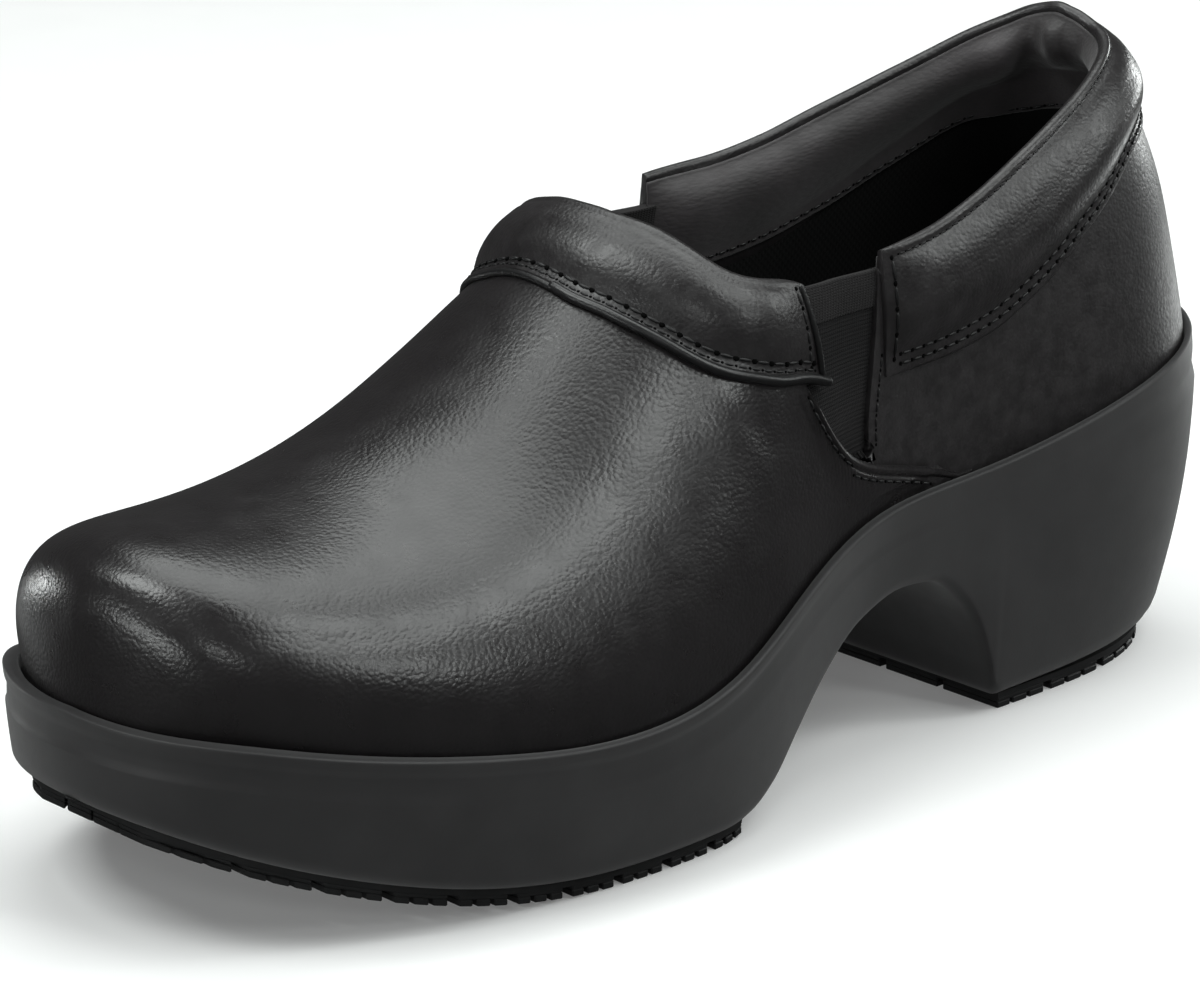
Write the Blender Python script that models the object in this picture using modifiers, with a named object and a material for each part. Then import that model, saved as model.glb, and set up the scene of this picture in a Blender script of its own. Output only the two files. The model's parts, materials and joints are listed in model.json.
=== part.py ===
"""Closed-back chef clog, left shoe: a leather slip-on upper on a moulded platform sole.

Metres, +Z up, toe towards -Y, the shoe's outer (lateral) side towards +X.
The floor is z = 0 and y = 0 is halfway along the sole.

Every curved piece is worked out from one last. A place on the last's skin is given by
a side (+1 lateral, -1 medial), a station (0 at the toe, 1 at the heel) and a girth
(0 where the skin leaves the sole's rim, 1 at the top centre line), so pieces that
lie on each other read their shapes from the same function and keep a named gap.
"""
from math import cos, pi, sin, sqrt

import bmesh
import bpy
import numpy as np

# Overall sizes
LENGTH = 0.262            # sole, toe to heel at the rim
BALL_WIDTH = 0.1010       # sole rim across the ball
HEEL_RIM = 0.0630         # rim above the floor at the back of the heel
TOE_SPRING = 0.0200       # rise of the tread under the toe tip
INSTEP = 0.1010           # leather at the throat, above the floor
TOPLINE_BACK = 0.1190     # top of the collar at the back, above the floor

# Sole
TREAD = 0.0033            # rubber tread under the moulded unit
LIP = 0.0022              # flat edge of the sole outside the leather
BED_DEPTH = 0.0070        # bed below the rim
BED_DISH = 0.0015         # how far the bed's middle is sunk
ARCH_RISE = 0.0308        # highest point of the underside at the waist
EDGE_ROUND = 0.0018       # rounding where the side wall turns under
TREAD_INSET = 0.0006      # tread's edge inside the moulded unit's
TREAD_BASE = 0.0012       # web that joins the tread blocks
GROOVE = 0.0020           # gap between two tread blocks
SPRING_END = 0.32         # station where the toe spring begins

# Upper
WALL = 0.0020             # leather and lining together
GAP = 0.0003              # clearance between neighbouring pieces
SLOT_GAP = 0.0007         # clearance of the leather in a padded roll
SEAT_GAP = 0.0005         # clearance of the leather in the sole's recess
COLLAR_WALL_DROP = 0.0025 # leather's top edge under the top of the collar roll
COLLAR_PAD = 0.0042       # collar's padding outside the leather
COLLAR_LINING = 0.0038    # collar's padding inside the leather
ROLL_TAPER = 0.012        # how far from its end a roll is pressed thinner
ROLL_END = 0.45           # share of the padding left at the end
THROAT_PAD = 0.0034
THROAT_LINING = 0.0022
THROAT_HALF_LENGTH = 0.052 # band's run from the centre line to the elastic
GORE_WALL = 0.0016
GORE_GAP = 0.0008         # clearance beside the elastic, along the shoe
GORE_FOOT = 0.05          # where the elastic starts, as a share of the opening's height
GORE_SINK = 0.0004        # elastic's face under the leather's
INSOLE = 0.0045
INSOLE_GAP = 0.0006       # clearance of the footbed inside the leather

# Stations of the main features, 0 at the toe and 1 at the heel
GORE_BACK = 0.596         # back edge of the elastic at the top
FAN_START = 0.70          # from here on the sections turn round the heel
FOOT_THROAT = 0.510       # foot of the leather's column at the throat band's end
FOOT_GORE_FRONT = 0.555   # and at the elastic's bottom, in front of it and behind it
FOOT_GORE_BACK = 0.578
QUARTER_FRONT = 0.604     # first column behind the elastic
FOREFOOT_TREAD = (0.012, 0.425)
HEEL_TREAD = (0.742, 0.965)
COLLAR_START = 0.003      # collar's first section behind the elastic's top corner
BED_END_FADE = 0.1        # run over which the bed's dish fades at the toe and heel tips

TREAD_MEAN_REACH = 0.85   # tread's mean half width, as a share of half the ball width

# Places on the throat band, as shares of the way down it
THROAT_WALL_TOP = 0.22    # leather's top edge inside the band
THROAT_SLOT = 0.19        # where the band's slot over that edge ends
THROAT_END = 0.985        # last section of the band, as a share of its run

# Counts and shares of the meshes
HALF_ACROSS = (0.0, 0.33, 0.66, 1.0)
SIDE_LEVELS = (0.0, 0.2, 0.5, 0.8)
FOOTBED_SHARES = (0.0, 0.17, 0.34, 0.5, 0.66, 0.83, 1.0)
FOREFOOT_BLOCKS = (10, 4)
HEEL_BLOCKS = (4, 4)
FRONT_STEPS = 34
BACK_STEPS = 16
TOE_CROWDING = 1.3        # above 1, stations lie closer together at the toe
SECTION_STEPS = 32
UPPER_ROWS = 10
VAMP_COLUMNS = 15
VAMP_CROWDING = 1.6
THROAT_STEPS = 9
GORE_FRONT_STEPS = 6
GORE_BACK_STEPS = 5
QUARTER_STEPS = 17
ELASTIC_ROWS = 8
ELASTIC_COLUMNS = 4
SLOT_INSIDE_STEPS = 3
SLOT_OUTSIDE_STEPS = 4

# How the shapes are worked out
NORMAL_STEP = 0.012       # step for a slope of the last's skin, in the root of the station
MERGE = 1e-6
CREASE = pi / 6           # edges sharper than this are shaded sharp

TABLE_WIDTH = 0.5 * BALL_WIDTH
LEATHER_INSET = LIP + SEAT_GAP

# Plan of the sole: half widths at the rim and at the bottom edge, as shares of half
# the ball width, and the rim's height as a share of the heel's rim height.
PLAN_COLUMNS = ("station", "lateral", "medial", "floor_lateral", "floor_medial", "rim")
PLAN = (
    (0.000, 0.000, 0.000, 0.000, 0.000, 0.640),
    (0.015, 0.385, 0.395, 0.335, 0.350, 0.618),
    (0.050, 0.625, 0.680, 0.575, 0.630, 0.585),
    (0.120, 0.830, 0.860, 0.785, 0.815, 0.530),
    (0.210, 0.980, 0.955, 0.935, 0.910, 0.475),
    (0.310, 1.040, 0.960, 0.990, 0.915, 0.446),
    (0.410, 1.000, 0.885, 0.955, 0.840, 0.515),
    (0.500, 0.865, 0.770, 0.830, 0.730, 0.660),
    (0.600, 0.720, 0.690, 0.695, 0.660, 0.755),
    (0.700, 0.692, 0.680, 0.655, 0.640, 0.785),
    (0.800, 0.708, 0.702, 0.640, 0.632, 0.850),
    (0.900, 0.755, 0.748, 0.625, 0.618, 0.945),
    (1.000, 0.778, 0.778, 0.585, 0.585, 1.000),
)

# Underside of the moulded unit: which station of the bottom lies under a station of the
# rim, and its height above the tread's top as a share of the arch's rise.
UNDER_COLUMNS = ("station", "below", "height")
UNDER = (
    (0.000, 0.000, 0.000),
    (0.320, 0.320, 0.000),
    (0.400, 0.402, 0.000),
    (0.430, 0.428, 0.030),
    (0.460, 0.455, 0.140),
    (0.500, 0.487, 0.360),
    (0.540, 0.525, 0.640),
    (0.580, 0.568, 0.880),
    (0.615, 0.618, 1.000),
    (0.640, 0.652, 0.970),
    (0.662, 0.680, 0.790),
    (0.682, 0.700, 0.520),
    (0.700, 0.710, 0.260),
    (0.716, 0.716, 0.050),
    (0.735, 0.724, 0.000),
    (0.770, 0.755, 0.000),
    (1.000, 1.000, 0.000),
)

# Sections of the last. crest and top are the height and half width at girth 1, side is
# how far up the wall stays upright, lean how far it bulges, and crown how flat the top
# is. Behind the throat the crest is inside the ankle opening and only shapes the wall.
LAST_COLUMNS = ("station", "crest", "top", "side", "lean", "crown", "ridge")
LAST = (
    (0.000, 0.510, 0.000, 0.50, 0.00, 0.60, 0.00),
    (0.015, 0.615, 0.000, 0.55, 0.24, 0.66, 0.00),
    (0.050, 0.645, 0.000, 0.58, 0.22, 0.66, -0.01),
    (0.120, 0.643, 0.000, 0.60, 0.14, 0.62, -0.03),
    (0.210, 0.668, 0.000, 0.60, 0.06, 0.54, -0.05),
    (0.310, 0.776, 0.000, 0.58, 0.03, 0.48, -0.06),
    (0.390, 0.918, 0.000, 0.60, 0.00, 0.44, -0.05),
    (0.440, 1.026, 0.000, 0.62, -0.02, 0.44, -0.04),
    (0.500, 1.220, 0.000, 0.64, -0.03, 0.50, -0.02),
    (0.550, 1.300, 0.250, 0.60, -0.02, 0.54, 0.00),
    (0.620, 1.320, 0.500, 0.50, 0.00, 0.34, 0.00),
    (0.720, 1.330, 0.370, 0.42, 0.00, 0.25, 0.00),
    (0.850, 1.340, 0.190, 0.40, -0.03, 0.20, 0.00),
    (1.000, 1.350, 0.100, 0.40, -0.08, 0.10, 0.00),
)

# Edges of the padded throat band, from the centre line to the elastic: station and girth.
THROAT_COLUMNS = ("along", "top_station", "top_girth", "low_station", "low_girth")
THROAT_EDGES = (
    (0.00, 0.440, 1.000, 0.392, 1.000),
    (0.15, 0.442, 0.920, 0.393, 0.885),
    (0.35, 0.450, 0.810, 0.403, 0.765),
    (0.55, 0.463, 0.705, 0.422, 0.630),
    (0.75, 0.484, 0.605, 0.455, 0.490),
    (1.00, 0.522, 0.515, 0.532, 0.330),
)

# Side opening that the elastic fills: front and back edges from the bottom up, with the
# height above the floor as a share of the instep height.
GORE_COLUMNS = ("up", "front", "back", "height")
GORE_EDGES = (
    (0.00, 0.566, 0.580, 0.580),
    (0.12, 0.548, 0.580, 0.625),
    (0.28, 0.536, 0.583, 0.680),
    (0.50, 0.536, 0.588, 0.750),
    (0.75, 0.531, 0.593, 0.830),
    (1.00, 0.522, 0.596, 0.905),
)

# Top and lower edges of the collar, as shares of its height at the back.
COLLAR_COLUMNS = ("station", "top", "low")
COLLAR_EDGES = (
    (0.592, 0.789, 0.603),
    (0.650, 0.805, 0.607),
    (0.700, 0.832, 0.621),
    (0.760, 0.878, 0.670),
    (0.820, 0.922, 0.745),
    (0.900, 0.972, 0.838),
    (1.000, 1.000, 0.874),
)

# Outline of a padded roll: how far down the band, and how far out (+) or in (-) as a
# share of its padding there.
ROLL_OUTSIDE = ((1.00, 0.12), (0.92, 0.45), (0.74, 0.86), (0.45, 1.00), (0.20, 0.85), (0.02, 0.48))
ROLL_CREST = -0.05
ROLL_INSIDE = ((0.02, 0.40), (0.18, 0.85), (0.42, 1.00), (0.70, 0.75), (0.86, 0.30))

COLOURS = {
    "sole": ((0.035, 0.036, 0.037), 0.75),
    "outsole": ((0.012, 0.012, 0.012), 0.85),
    "leather": ((0.010, 0.010, 0.011), 0.38),
    "elastic": ((0.012, 0.012, 0.013), 0.90),
    "lining": ((0.015, 0.015, 0.016), 0.80),
}


def column(columns, table, name):
    """One column of a table as an array."""
    index = columns.index(name)
    return np.array([row[index] for row in table], dtype=float)


class Spline:
    """Natural cubic spline; root reads it at the square root of the station, so that
    the toe comes out round."""

    def __init__(self, columns, table, name, root=False):
        self.root = root
        self.x = column(columns, table, columns[0])
        if root:
            self.x = np.sqrt(self.x)
        self.y = column(columns, table, name)
        steps = np.diff(self.x)
        size = len(self.x)
        matrix = np.eye(size)
        right = np.zeros(size)
        for i in range(1, size - 1):
            matrix[i, i - 1:i + 2] = steps[i - 1], 2 * (steps[i - 1] + steps[i]), steps[i]
            slope_after = (self.y[i + 1] - self.y[i]) / steps[i]
            slope_before = (self.y[i] - self.y[i - 1]) / steps[i - 1]
            right[i] = 6 * (slope_after - slope_before)
        self.bend = np.linalg.solve(matrix, right)

    def __call__(self, station):
        x = sqrt(max(station, 0.0)) if self.root else station
        i = min(max(int(np.searchsorted(self.x, x)) - 1, 0), len(self.x) - 2)
        step = self.x[i + 1] - self.x[i]
        before = x - self.x[i]
        after = self.x[i + 1] - x
        cubic = (self.bend[i] * after ** 3 + self.bend[i + 1] * before ** 3) / (6 * step)
        line_low = (self.y[i] / step - self.bend[i] * step / 6) * after
        line_high = (self.y[i + 1] / step - self.bend[i + 1] * step / 6) * before
        return float(cubic + line_low + line_high)


class Ramp:
    """Curve that never overshoots its rows (monotone cubic), for flats and edges."""

    def __init__(self, columns, table, name):
        self.x = column(columns, table, columns[0])
        self.y = column(columns, table, name)
        slopes = np.diff(self.y) / np.diff(self.x)
        self.slope = np.zeros(len(self.x))
        self.slope[0] = slopes[0]
        self.slope[-1] = slopes[-1]
        for i in range(1, len(self.x) - 1):
            before, after = slopes[i - 1], slopes[i]
            if before * after > 0:
                self.slope[i] = 2 * before * after / (before + after)

    def __call__(self, station):
        i = min(max(int(np.searchsorted(self.x, station)) - 1, 0), len(self.x) - 2)
        step = self.x[i + 1] - self.x[i]
        t = min(max((station - self.x[i]) / step, 0.0), 1.0)
        rise = self.y[i + 1] - self.y[i]
        first = step * self.slope[i]
        last = step * self.slope[i + 1]
        bend = first + last - 2 * rise
        return float(self.y[i] + t * (first + t * (3 * rise - 2 * first - last + t * bend)))


def side_name(side):
    """Name of the shoe's side: outer or inner."""
    return "lateral" if side > 0 else "medial"


def table_curves(kind, columns, table, **options):
    """One curve for each column after the first."""
    return {name: kind(columns, table, name, **options) for name in columns[1:]}


PLAN_AT = table_curves(Spline, PLAN_COLUMNS, PLAN, root=True)
LAST_AT = table_curves(Spline, LAST_COLUMNS, LAST, root=True)
LAST_AT["top"] = Ramp(LAST_COLUMNS, LAST, "top")
UNDER_AT = table_curves(Ramp, UNDER_COLUMNS, UNDER)
THROAT_AT = table_curves(Ramp, THROAT_COLUMNS, THROAT_EDGES)
THROAT_AT["top_station"].slope[0] = 0.0
THROAT_AT["low_station"].slope[0] = 0.0
GORE_AT = table_curves(Ramp, GORE_COLUMNS, GORE_EDGES)
COLLAR_AT = table_curves(Ramp, COLLAR_COLUMNS, COLLAR_EDGES)


def perimeter():
    """Stations along one side of the sole, closer together at the toe and the breast."""
    front = [FAN_START * (i / FRONT_STEPS) ** TOE_CROWDING for i in range(FRONT_STEPS + 1)]
    back = [FAN_START + (1 - FAN_START) * i / BACK_STEPS for i in range(1, BACK_STEPS + 1)]
    return front + back


# The spine lies beside the middle of the shoe's box, because the ball is wider outside.
WIDEST = {side: max(PLAN_AT[side_name(side)](station) for station in perimeter()) for side in (1, -1)}
SPINE_X = 0.5 * (WIDEST[-1] - WIDEST[1]) * TABLE_WIDTH


def spine(station):
    """Where a section stands: its y, and the angle it has turned round the heel."""
    if station <= FAN_START:
        return (station - 0.5) * LENGTH, 0.0
    share = (station - FAN_START) / (1 - FAN_START)
    half_fan = 0.5 * (1 - FAN_START) * LENGTH
    y = (FAN_START - 0.5) * LENGTH + half_fan * (1 - (1 - share) ** 2)
    return y, 0.5 * pi * share ** 2


def in_section(side, station, reach, height, toe_pull=0.0):
    """World point from a section's own half width and height; toe_pull shortens the toe."""
    y, turn = spine(station)
    y += toe_pull * max(0.0, 1 - 2 * station)
    x = SPINE_X + side * reach * cos(turn)
    return np.array((x, y + reach * sin(turn), height))


def rim_reach(side, station):
    """Half width of the sole at its rim."""
    return max(PLAN_AT[side_name(side)](station), 0.0) * TABLE_WIDTH


def floor_reach(side, station):
    """Half width of the sole at its bottom edge."""
    return max(PLAN_AT["floor_" + side_name(side)](station), 0.0) * TABLE_WIDTH


def rim_height(station):
    """Height of the sole's rim above the floor."""
    return PLAN_AT["rim"](station) * HEEL_RIM


def spring(station):
    """Rise of the tread towards the toe."""
    return TOE_SPRING * max(0.0, 1 - station / SPRING_END) ** 2


def inset_reach(reach, inset):
    """A half width made smaller by an inset, which fades out where the toe closes."""
    fade = 1 - min(1.0, reach / (0.8 * TABLE_WIDTH))
    return reach - inset * (1 - fade ** 2)


def outline(side, station, reach_of, inset, height):
    """Point of an outline of the sole, moved inwards by an inset."""
    reach = inset_reach(reach_of(side, station), inset)
    return in_section(side, station, reach, height, inset)


SECTIONS = {}


def section(side, station):
    """The last's section as reach and height at even steps of girth."""
    key = (side, round(station, 7))
    if key in SECTIONS:
        return SECTIONS[key]
    at = {name: curve(station) for name, curve in LAST_AT.items()}
    base = inset_reach(rim_reach(side, station), LEATHER_INSET)
    low = rim_height(station)
    high = at["crest"] * INSTEP
    top = at["top"] * TABLE_WIDTH + side * at["ridge"] * TABLE_WIDTH
    rise = high - low
    points = np.array((
        (base, low),
        (base + at["lean"] * rise, low + at["side"] * rise),
        (top + at["crown"] * (base - top), high),
        (top, high),
    ))
    t = np.linspace(0, 1, SECTION_STEPS + 1)[:, None]
    curve = ((1 - t) ** 3 * points[0] + 3 * t * (1 - t) ** 2 * points[1]
             + 3 * t ** 2 * (1 - t) * points[2] + t ** 3 * points[3])
    lengths = np.hypot(*np.diff(curve, axis=0).T)
    walked = np.concatenate(([0.0], np.cumsum(lengths)))
    girth = walked / walked[-1]
    SECTIONS[key] = girth, curve
    return SECTIONS[key]


def girth_at(side, station, height):
    """Girth at which the skin reaches a height above the floor."""
    girth, curve = section(side, station)
    return float(np.interp(height, curve[:, 1], girth))


def on_last(side, station, girth):
    """Point on the last's skin."""
    shares, curve = section(side, station)
    reach = float(np.interp(girth, shares, curve[:, 0]))
    height = float(np.interp(girth, shares, curve[:, 1]))
    return in_section(side, station, reach, height, LEATHER_INSET)


def skin(side, station, girth, out=0.0):
    """Point on the skin, moved outwards along its normal."""
    here = on_last(side, station, girth)
    if out == 0.0:
        return here
    root = sqrt(station)
    ahead = min(root + NORMAL_STEP, 1.0)
    behind = max(root - NORMAL_STEP, 0.0)
    up = min(girth + 2 * NORMAL_STEP, 1.0)
    down = max(girth - 2 * NORMAL_STEP, 0.0)
    along = on_last(side, ahead ** 2, girth) - on_last(side, behind ** 2, girth)
    across = on_last(side, station, up) - on_last(side, station, down)
    normal = np.cross(along, across) * side
    if station in (0.0, 1.0):
        normal[0] = 0.0
    return here + normal / np.linalg.norm(normal) * out


def blend(start, end, share):
    """A place between two places."""
    return tuple(a + (b - a) * share for a, b in zip(start, end))


def throat_place(share, down):
    """Station and girth on the throat band: share 0 at the centre line, 1 at the elastic,
    and down 0 at the band's top edge, 1 at its lower edge."""
    at = {name: curve(share) for name, curve in THROAT_AT.items()}
    top = (at["top_station"], at["top_girth"])
    low = (at["low_station"], at["low_girth"])
    return blend(top, low, down)


def collar_place(side, station, down):
    """Station and girth on the collar, from its top edge (down 0) to its lower edge."""
    top = girth_at(side, station, COLLAR_AT["top"](station) * TOPLINE_BACK)
    low = girth_at(side, station, COLLAR_AT["low"](station) * TOPLINE_BACK)
    return station, top + (low - top) * down


def collar_height(station):
    """Height of the collar's band."""
    return (COLLAR_AT["top"](station) - COLLAR_AT["low"](station)) * TOPLINE_BACK


def gore_place(side, edge, up):
    """Station and girth on the front or back edge of the side opening."""
    station = GORE_AT[edge](up)
    return station, girth_at(side, station, GORE_AT["height"](up) * INSTEP)


def material(name):
    """The material of one kind of piece."""
    if name in bpy.data.materials:
        return bpy.data.materials[name]
    colour, roughness = COLOURS[name]
    made = bpy.data.materials.new(name)
    made.use_nodes = True
    shader = made.node_tree.nodes["Principled BSDF"]
    shader.inputs["Base Color"].default_value = (*colour, 1.0)
    shader.inputs["Roughness"].default_value = roughness
    shader.inputs["Metallic"].default_value = 0.0
    made.diffuse_color = (*colour, 1.0)
    return made


def finish(shape, name, kind, collection):
    """Weld a piece's shared edges, turn its faces outwards and put it in the collection."""
    bmesh.ops.remove_doubles(shape, verts=shape.verts, dist=MERGE)
    bmesh.ops.dissolve_degenerate(shape, edges=shape.edges, dist=MERGE)
    bmesh.ops.recalc_face_normals(shape, faces=shape.faces)
    mesh = bpy.data.meshes.new(name)
    shape.to_mesh(mesh)
    shape.free()
    mesh.materials.append(material(kind))
    mesh.shade_smooth()
    mesh.set_sharp_from_angle(angle=CREASE)
    made = bpy.data.objects.new(name, mesh)
    collection.objects.link(made)
    return made


def add_grid(shape, rows, close_across=False):
    """Quads between rows of points that all have the same count."""
    grid = [[shape.verts.new(tuple(point)) for point in row] for row in rows]
    count = len(grid[0])
    for row, after in zip(grid, grid[1:]):
        for i in range(count if close_across else count - 1):
            j = (i + 1) % count
            shape.faces.new((row[i], row[j], after[j], after[i]))
    return grid


def quarter_top(side, station):
    """Top edge of the leather inside the collar."""
    return collar_place(side, station, COLLAR_WALL_DROP / collar_height(station))


def quarter_stations():
    """Columns of the quarter, shared by the leather and the collar over it."""
    return [QUARTER_FRONT + (1 - QUARTER_FRONT) * i / QUARTER_STEPS for i in range(QUARTER_STEPS + 1)]


def upper_columns(side):
    """For each column of the upper's wall, the station at its foot and its top place."""
    steps = []
    front = throat_place(0.0, THROAT_WALL_TOP)[0]
    for i in range(VAMP_COLUMNS + 1):
        station = front * (i / VAMP_COLUMNS) ** VAMP_CROWDING
        steps.append((station, (station, 1.0)))
    for i in range(1, THROAT_STEPS + 1):
        share = i / THROAT_STEPS
        foot = front + (FOOT_THROAT - front) * share
        steps.append((foot, throat_place(share, THROAT_WALL_TOP)))
    for i in range(1, GORE_FRONT_STEPS + 1):
        share = i / GORE_FRONT_STEPS
        foot = FOOT_THROAT + (FOOT_GORE_FRONT - FOOT_THROAT) * share
        steps.append((foot, gore_place(side, "front", 1 - share)))
    for i in range(GORE_BACK_STEPS):
        share = i / GORE_BACK_STEPS
        foot = FOOT_GORE_BACK + (QUARTER_FRONT - FOOT_GORE_BACK) * share
        steps.append((foot, gore_place(side, "back", share)))
    quarter = quarter_stations()
    steps.append((quarter[0], quarter_top(side, GORE_BACK)))
    steps += [(station, quarter_top(side, station)) for station in quarter[1:]]
    return steps


def make_upper(collection):
    """Vamp and quarters: one leather wall, open at the top, at the elastics and below."""
    shape = bmesh.new()
    for side in (1, -1):
        rows = []
        for foot, (top_station, top_girth) in upper_columns(side):
            row = [outline(side, foot, rim_reach, LEATHER_INSET, rim_height(foot) - BED_DEPTH + GAP)]
            for j in range(UPPER_ROWS + 1):
                share = j / UPPER_ROWS
                station = foot + (top_station - foot) * share
                row.append(skin(side, station, top_girth * share))
            rows.append(row)
        add_grid(shape, rows)
    made = finish(shape, "upper", "leather", collection)
    wall = made.modifiers.new("wall", "SOLIDIFY")
    wall.thickness = WALL
    wall.offset = -1.0
    wall.use_even_offset = True
    return made


def end_taper(run):
    """Share of a roll's padding at a distance from its end."""
    share = min(1.0, run / ROLL_TAPER)
    return ROLL_END + (1 - ROLL_END) * share * (2 - share)


def roll_loop(place, side, pad, lining, wall_top):
    """Closed outline of a padded roll that sits over the leather's top edge.

    place gives station and girth for a share of the way down the band."""
    outside = [(down, SLOT_GAP + out * pad) for down, out in ROLL_OUTSIDE]
    inside = [(down, -WALL - SLOT_GAP - out * lining) for down, out in ROLL_INSIDE]
    crest = [(ROLL_CREST, -0.5 * WALL)]
    deepest = ROLL_INSIDE[-1][0]
    up_inside = [(deepest + (wall_top - deepest) * i / SLOT_INSIDE_STEPS, -WALL - SLOT_GAP)
                 for i in range(SLOT_INSIDE_STEPS + 1)]
    down_outside = [(wall_top + (1 - wall_top) * i / SLOT_OUTSIDE_STEPS, SLOT_GAP)
                    for i in range(SLOT_OUTSIDE_STEPS + 1)]
    loop = outside + crest + inside + up_inside + down_outside
    return [skin(side, *place(down), out) for down, out in loop]


def cap_ends(shape, grid):
    """Close a loft's two end loops."""
    for loop in (grid[0], grid[-1]):
        shape.faces.new(loop)


def make_collar(collection):
    """Padded roll round the heel, from one elastic to the other."""
    shape = bmesh.new()
    stations = [GORE_BACK + COLLAR_START] + quarter_stations()
    loops = []
    for side, run in ((1, stations), (-1, stations[-2::-1])):
        for station in run:
            wall_top = (COLLAR_WALL_DROP - SLOT_GAP) / collar_height(station)

            def place(down, side=side, station=station):
                return collar_place(side, station, down)
            thick = end_taper((station - stations[0]) * LENGTH)
            loops.append(roll_loop(place, side, COLLAR_PAD * thick, COLLAR_LINING * thick, wall_top))
    cap_ends(shape, add_grid(shape, loops, close_across=True))
    return finish(shape, "collar", "leather", collection)


def make_throat_band(collection):
    """Padded roll over the front of the opening."""
    shape = bmesh.new()
    shares = [i / THROAT_STEPS for i in range(THROAT_STEPS)] + [THROAT_END]
    loops = []
    for side, run in ((1, shares[::-1]), (-1, shares[1:])):
        for share in run:

            def place(down, share=share):
                return throat_place(share, down)
            thick = end_taper((THROAT_END - share) * THROAT_HALF_LENGTH)
            loops.append(roll_loop(place, side, THROAT_PAD * thick, THROAT_LINING * thick, THROAT_SLOT))
    cap_ends(shape, add_grid(shape, loops, close_across=True))
    return finish(shape, "throat_band", "leather", collection)


def make_gore(side, collection):
    """Elastic panel in the side opening."""
    shape = bmesh.new()
    loops = []
    for i in range(ELASTIC_ROWS + 1):
        up = GORE_FOOT + (1 - GORE_FOOT) * i / ELASTIC_ROWS
        front = gore_place(side, "front", up)
        back = gore_place(side, "back", up)
        front = (front[0] + GORE_GAP / LENGTH, front[1])
        back = (back[0] - GORE_GAP / LENGTH, back[1])
        places = [blend(front, back, j / ELASTIC_COLUMNS) for j in range(ELASTIC_COLUMNS + 1)]
        outer = [skin(side, *place, -GORE_SINK) for place in places]
        inner = [skin(side, *place, -GORE_SINK - GORE_WALL) for place in places]
        loops.append(outer + inner[::-1])
    cap_ends(shape, add_grid(shape, loops, close_across=True))
    return finish(shape, "gore_" + side_name(side), "elastic", collection)


def under_edge(side, station, inset, height):
    """Point of the moulded unit's bottom edge."""
    reach = inset_reach(floor_reach(side, station), inset)
    point = in_section(side, UNDER_AT["below"](station), reach, TREAD + height, inset)
    arch = UNDER_AT["height"](station) * (ARCH_RISE - TREAD)
    point[2] += arch + spring(point[1] / LENGTH + 0.5)
    return point


def under_across(station, across, inset, height):
    """Point of the underside, from the medial edge (across -1) to the lateral one (1)."""
    lateral = under_edge(1, station, inset, height)
    medial = under_edge(-1, station, inset, height)
    return medial + (lateral - medial) * 0.5 * (1 + across)


def end_fade(station):
    """1 along the bed, falling to 0 at the toe and heel tips."""
    return min(1.0, station / BED_END_FADE, (1 - station) / BED_END_FADE)


def bed_point(side, station, across):
    """Point of the bed, across 0 at the middle and 1 at its edge."""
    dish = BED_DISH * (1 - across ** 2) * end_fade(station)
    height = rim_height(station) - BED_DEPTH - dish
    edge = outline(side, station, rim_reach, LIP, height)
    other = outline(-side, station, rim_reach, LIP, height)
    middle = 0.5 * (edge + other)
    return middle + (edge - middle) * across


def make_sole(collection):
    """Moulded unit: platform, waist and heel, with a bed that the upper sits in."""
    shape = bmesh.new()
    for side in (1, -1):
        rows = []
        for station in perimeter():
            rim = outline(side, station, rim_reach, 0.0, rim_height(station))
            bottom = under_edge(side, station, 0.0, EDGE_ROUND)
            row = [bed_point(side, station, across) for across in HALF_ACROSS]
            row.append(outline(side, station, rim_reach, LIP, rim_height(station)))
            row += [rim + (bottom - rim) * level for level in SIDE_LEVELS]
            row.append(bottom)
            row += [under_across(station, side * across, EDGE_ROUND, 0.0) for across in HALF_ACROSS[::-1]]
            rows.append(row)
        add_grid(shape, rows)
    return finish(shape, "sole", "sole", collection)


def tread_stations(first, last, count):
    """Block rows and the grooves between them, as stations along the tread."""
    groove = GROOVE / LENGTH
    block = ((last - first) - (count - 1) * groove) / count
    lines = []
    for i in range(count):
        start = first + i * (block + groove)
        lines += [start, start + block]
    return lines


def tread_lines(columns):
    """Positions across the tread, -1 to 1, at the edges of each column of blocks."""
    half_groove = GROOVE / (2 * TREAD_MEAN_REACH * TABLE_WIDTH)
    lines = []
    for i in range(columns):
        start = -1 + 2 * i / columns
        end = -1 + 2 * (i + 1) / columns
        lines += [start + (half_groove if i else 0), end - (half_groove if i < columns - 1 else 0)]
    return lines


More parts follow.
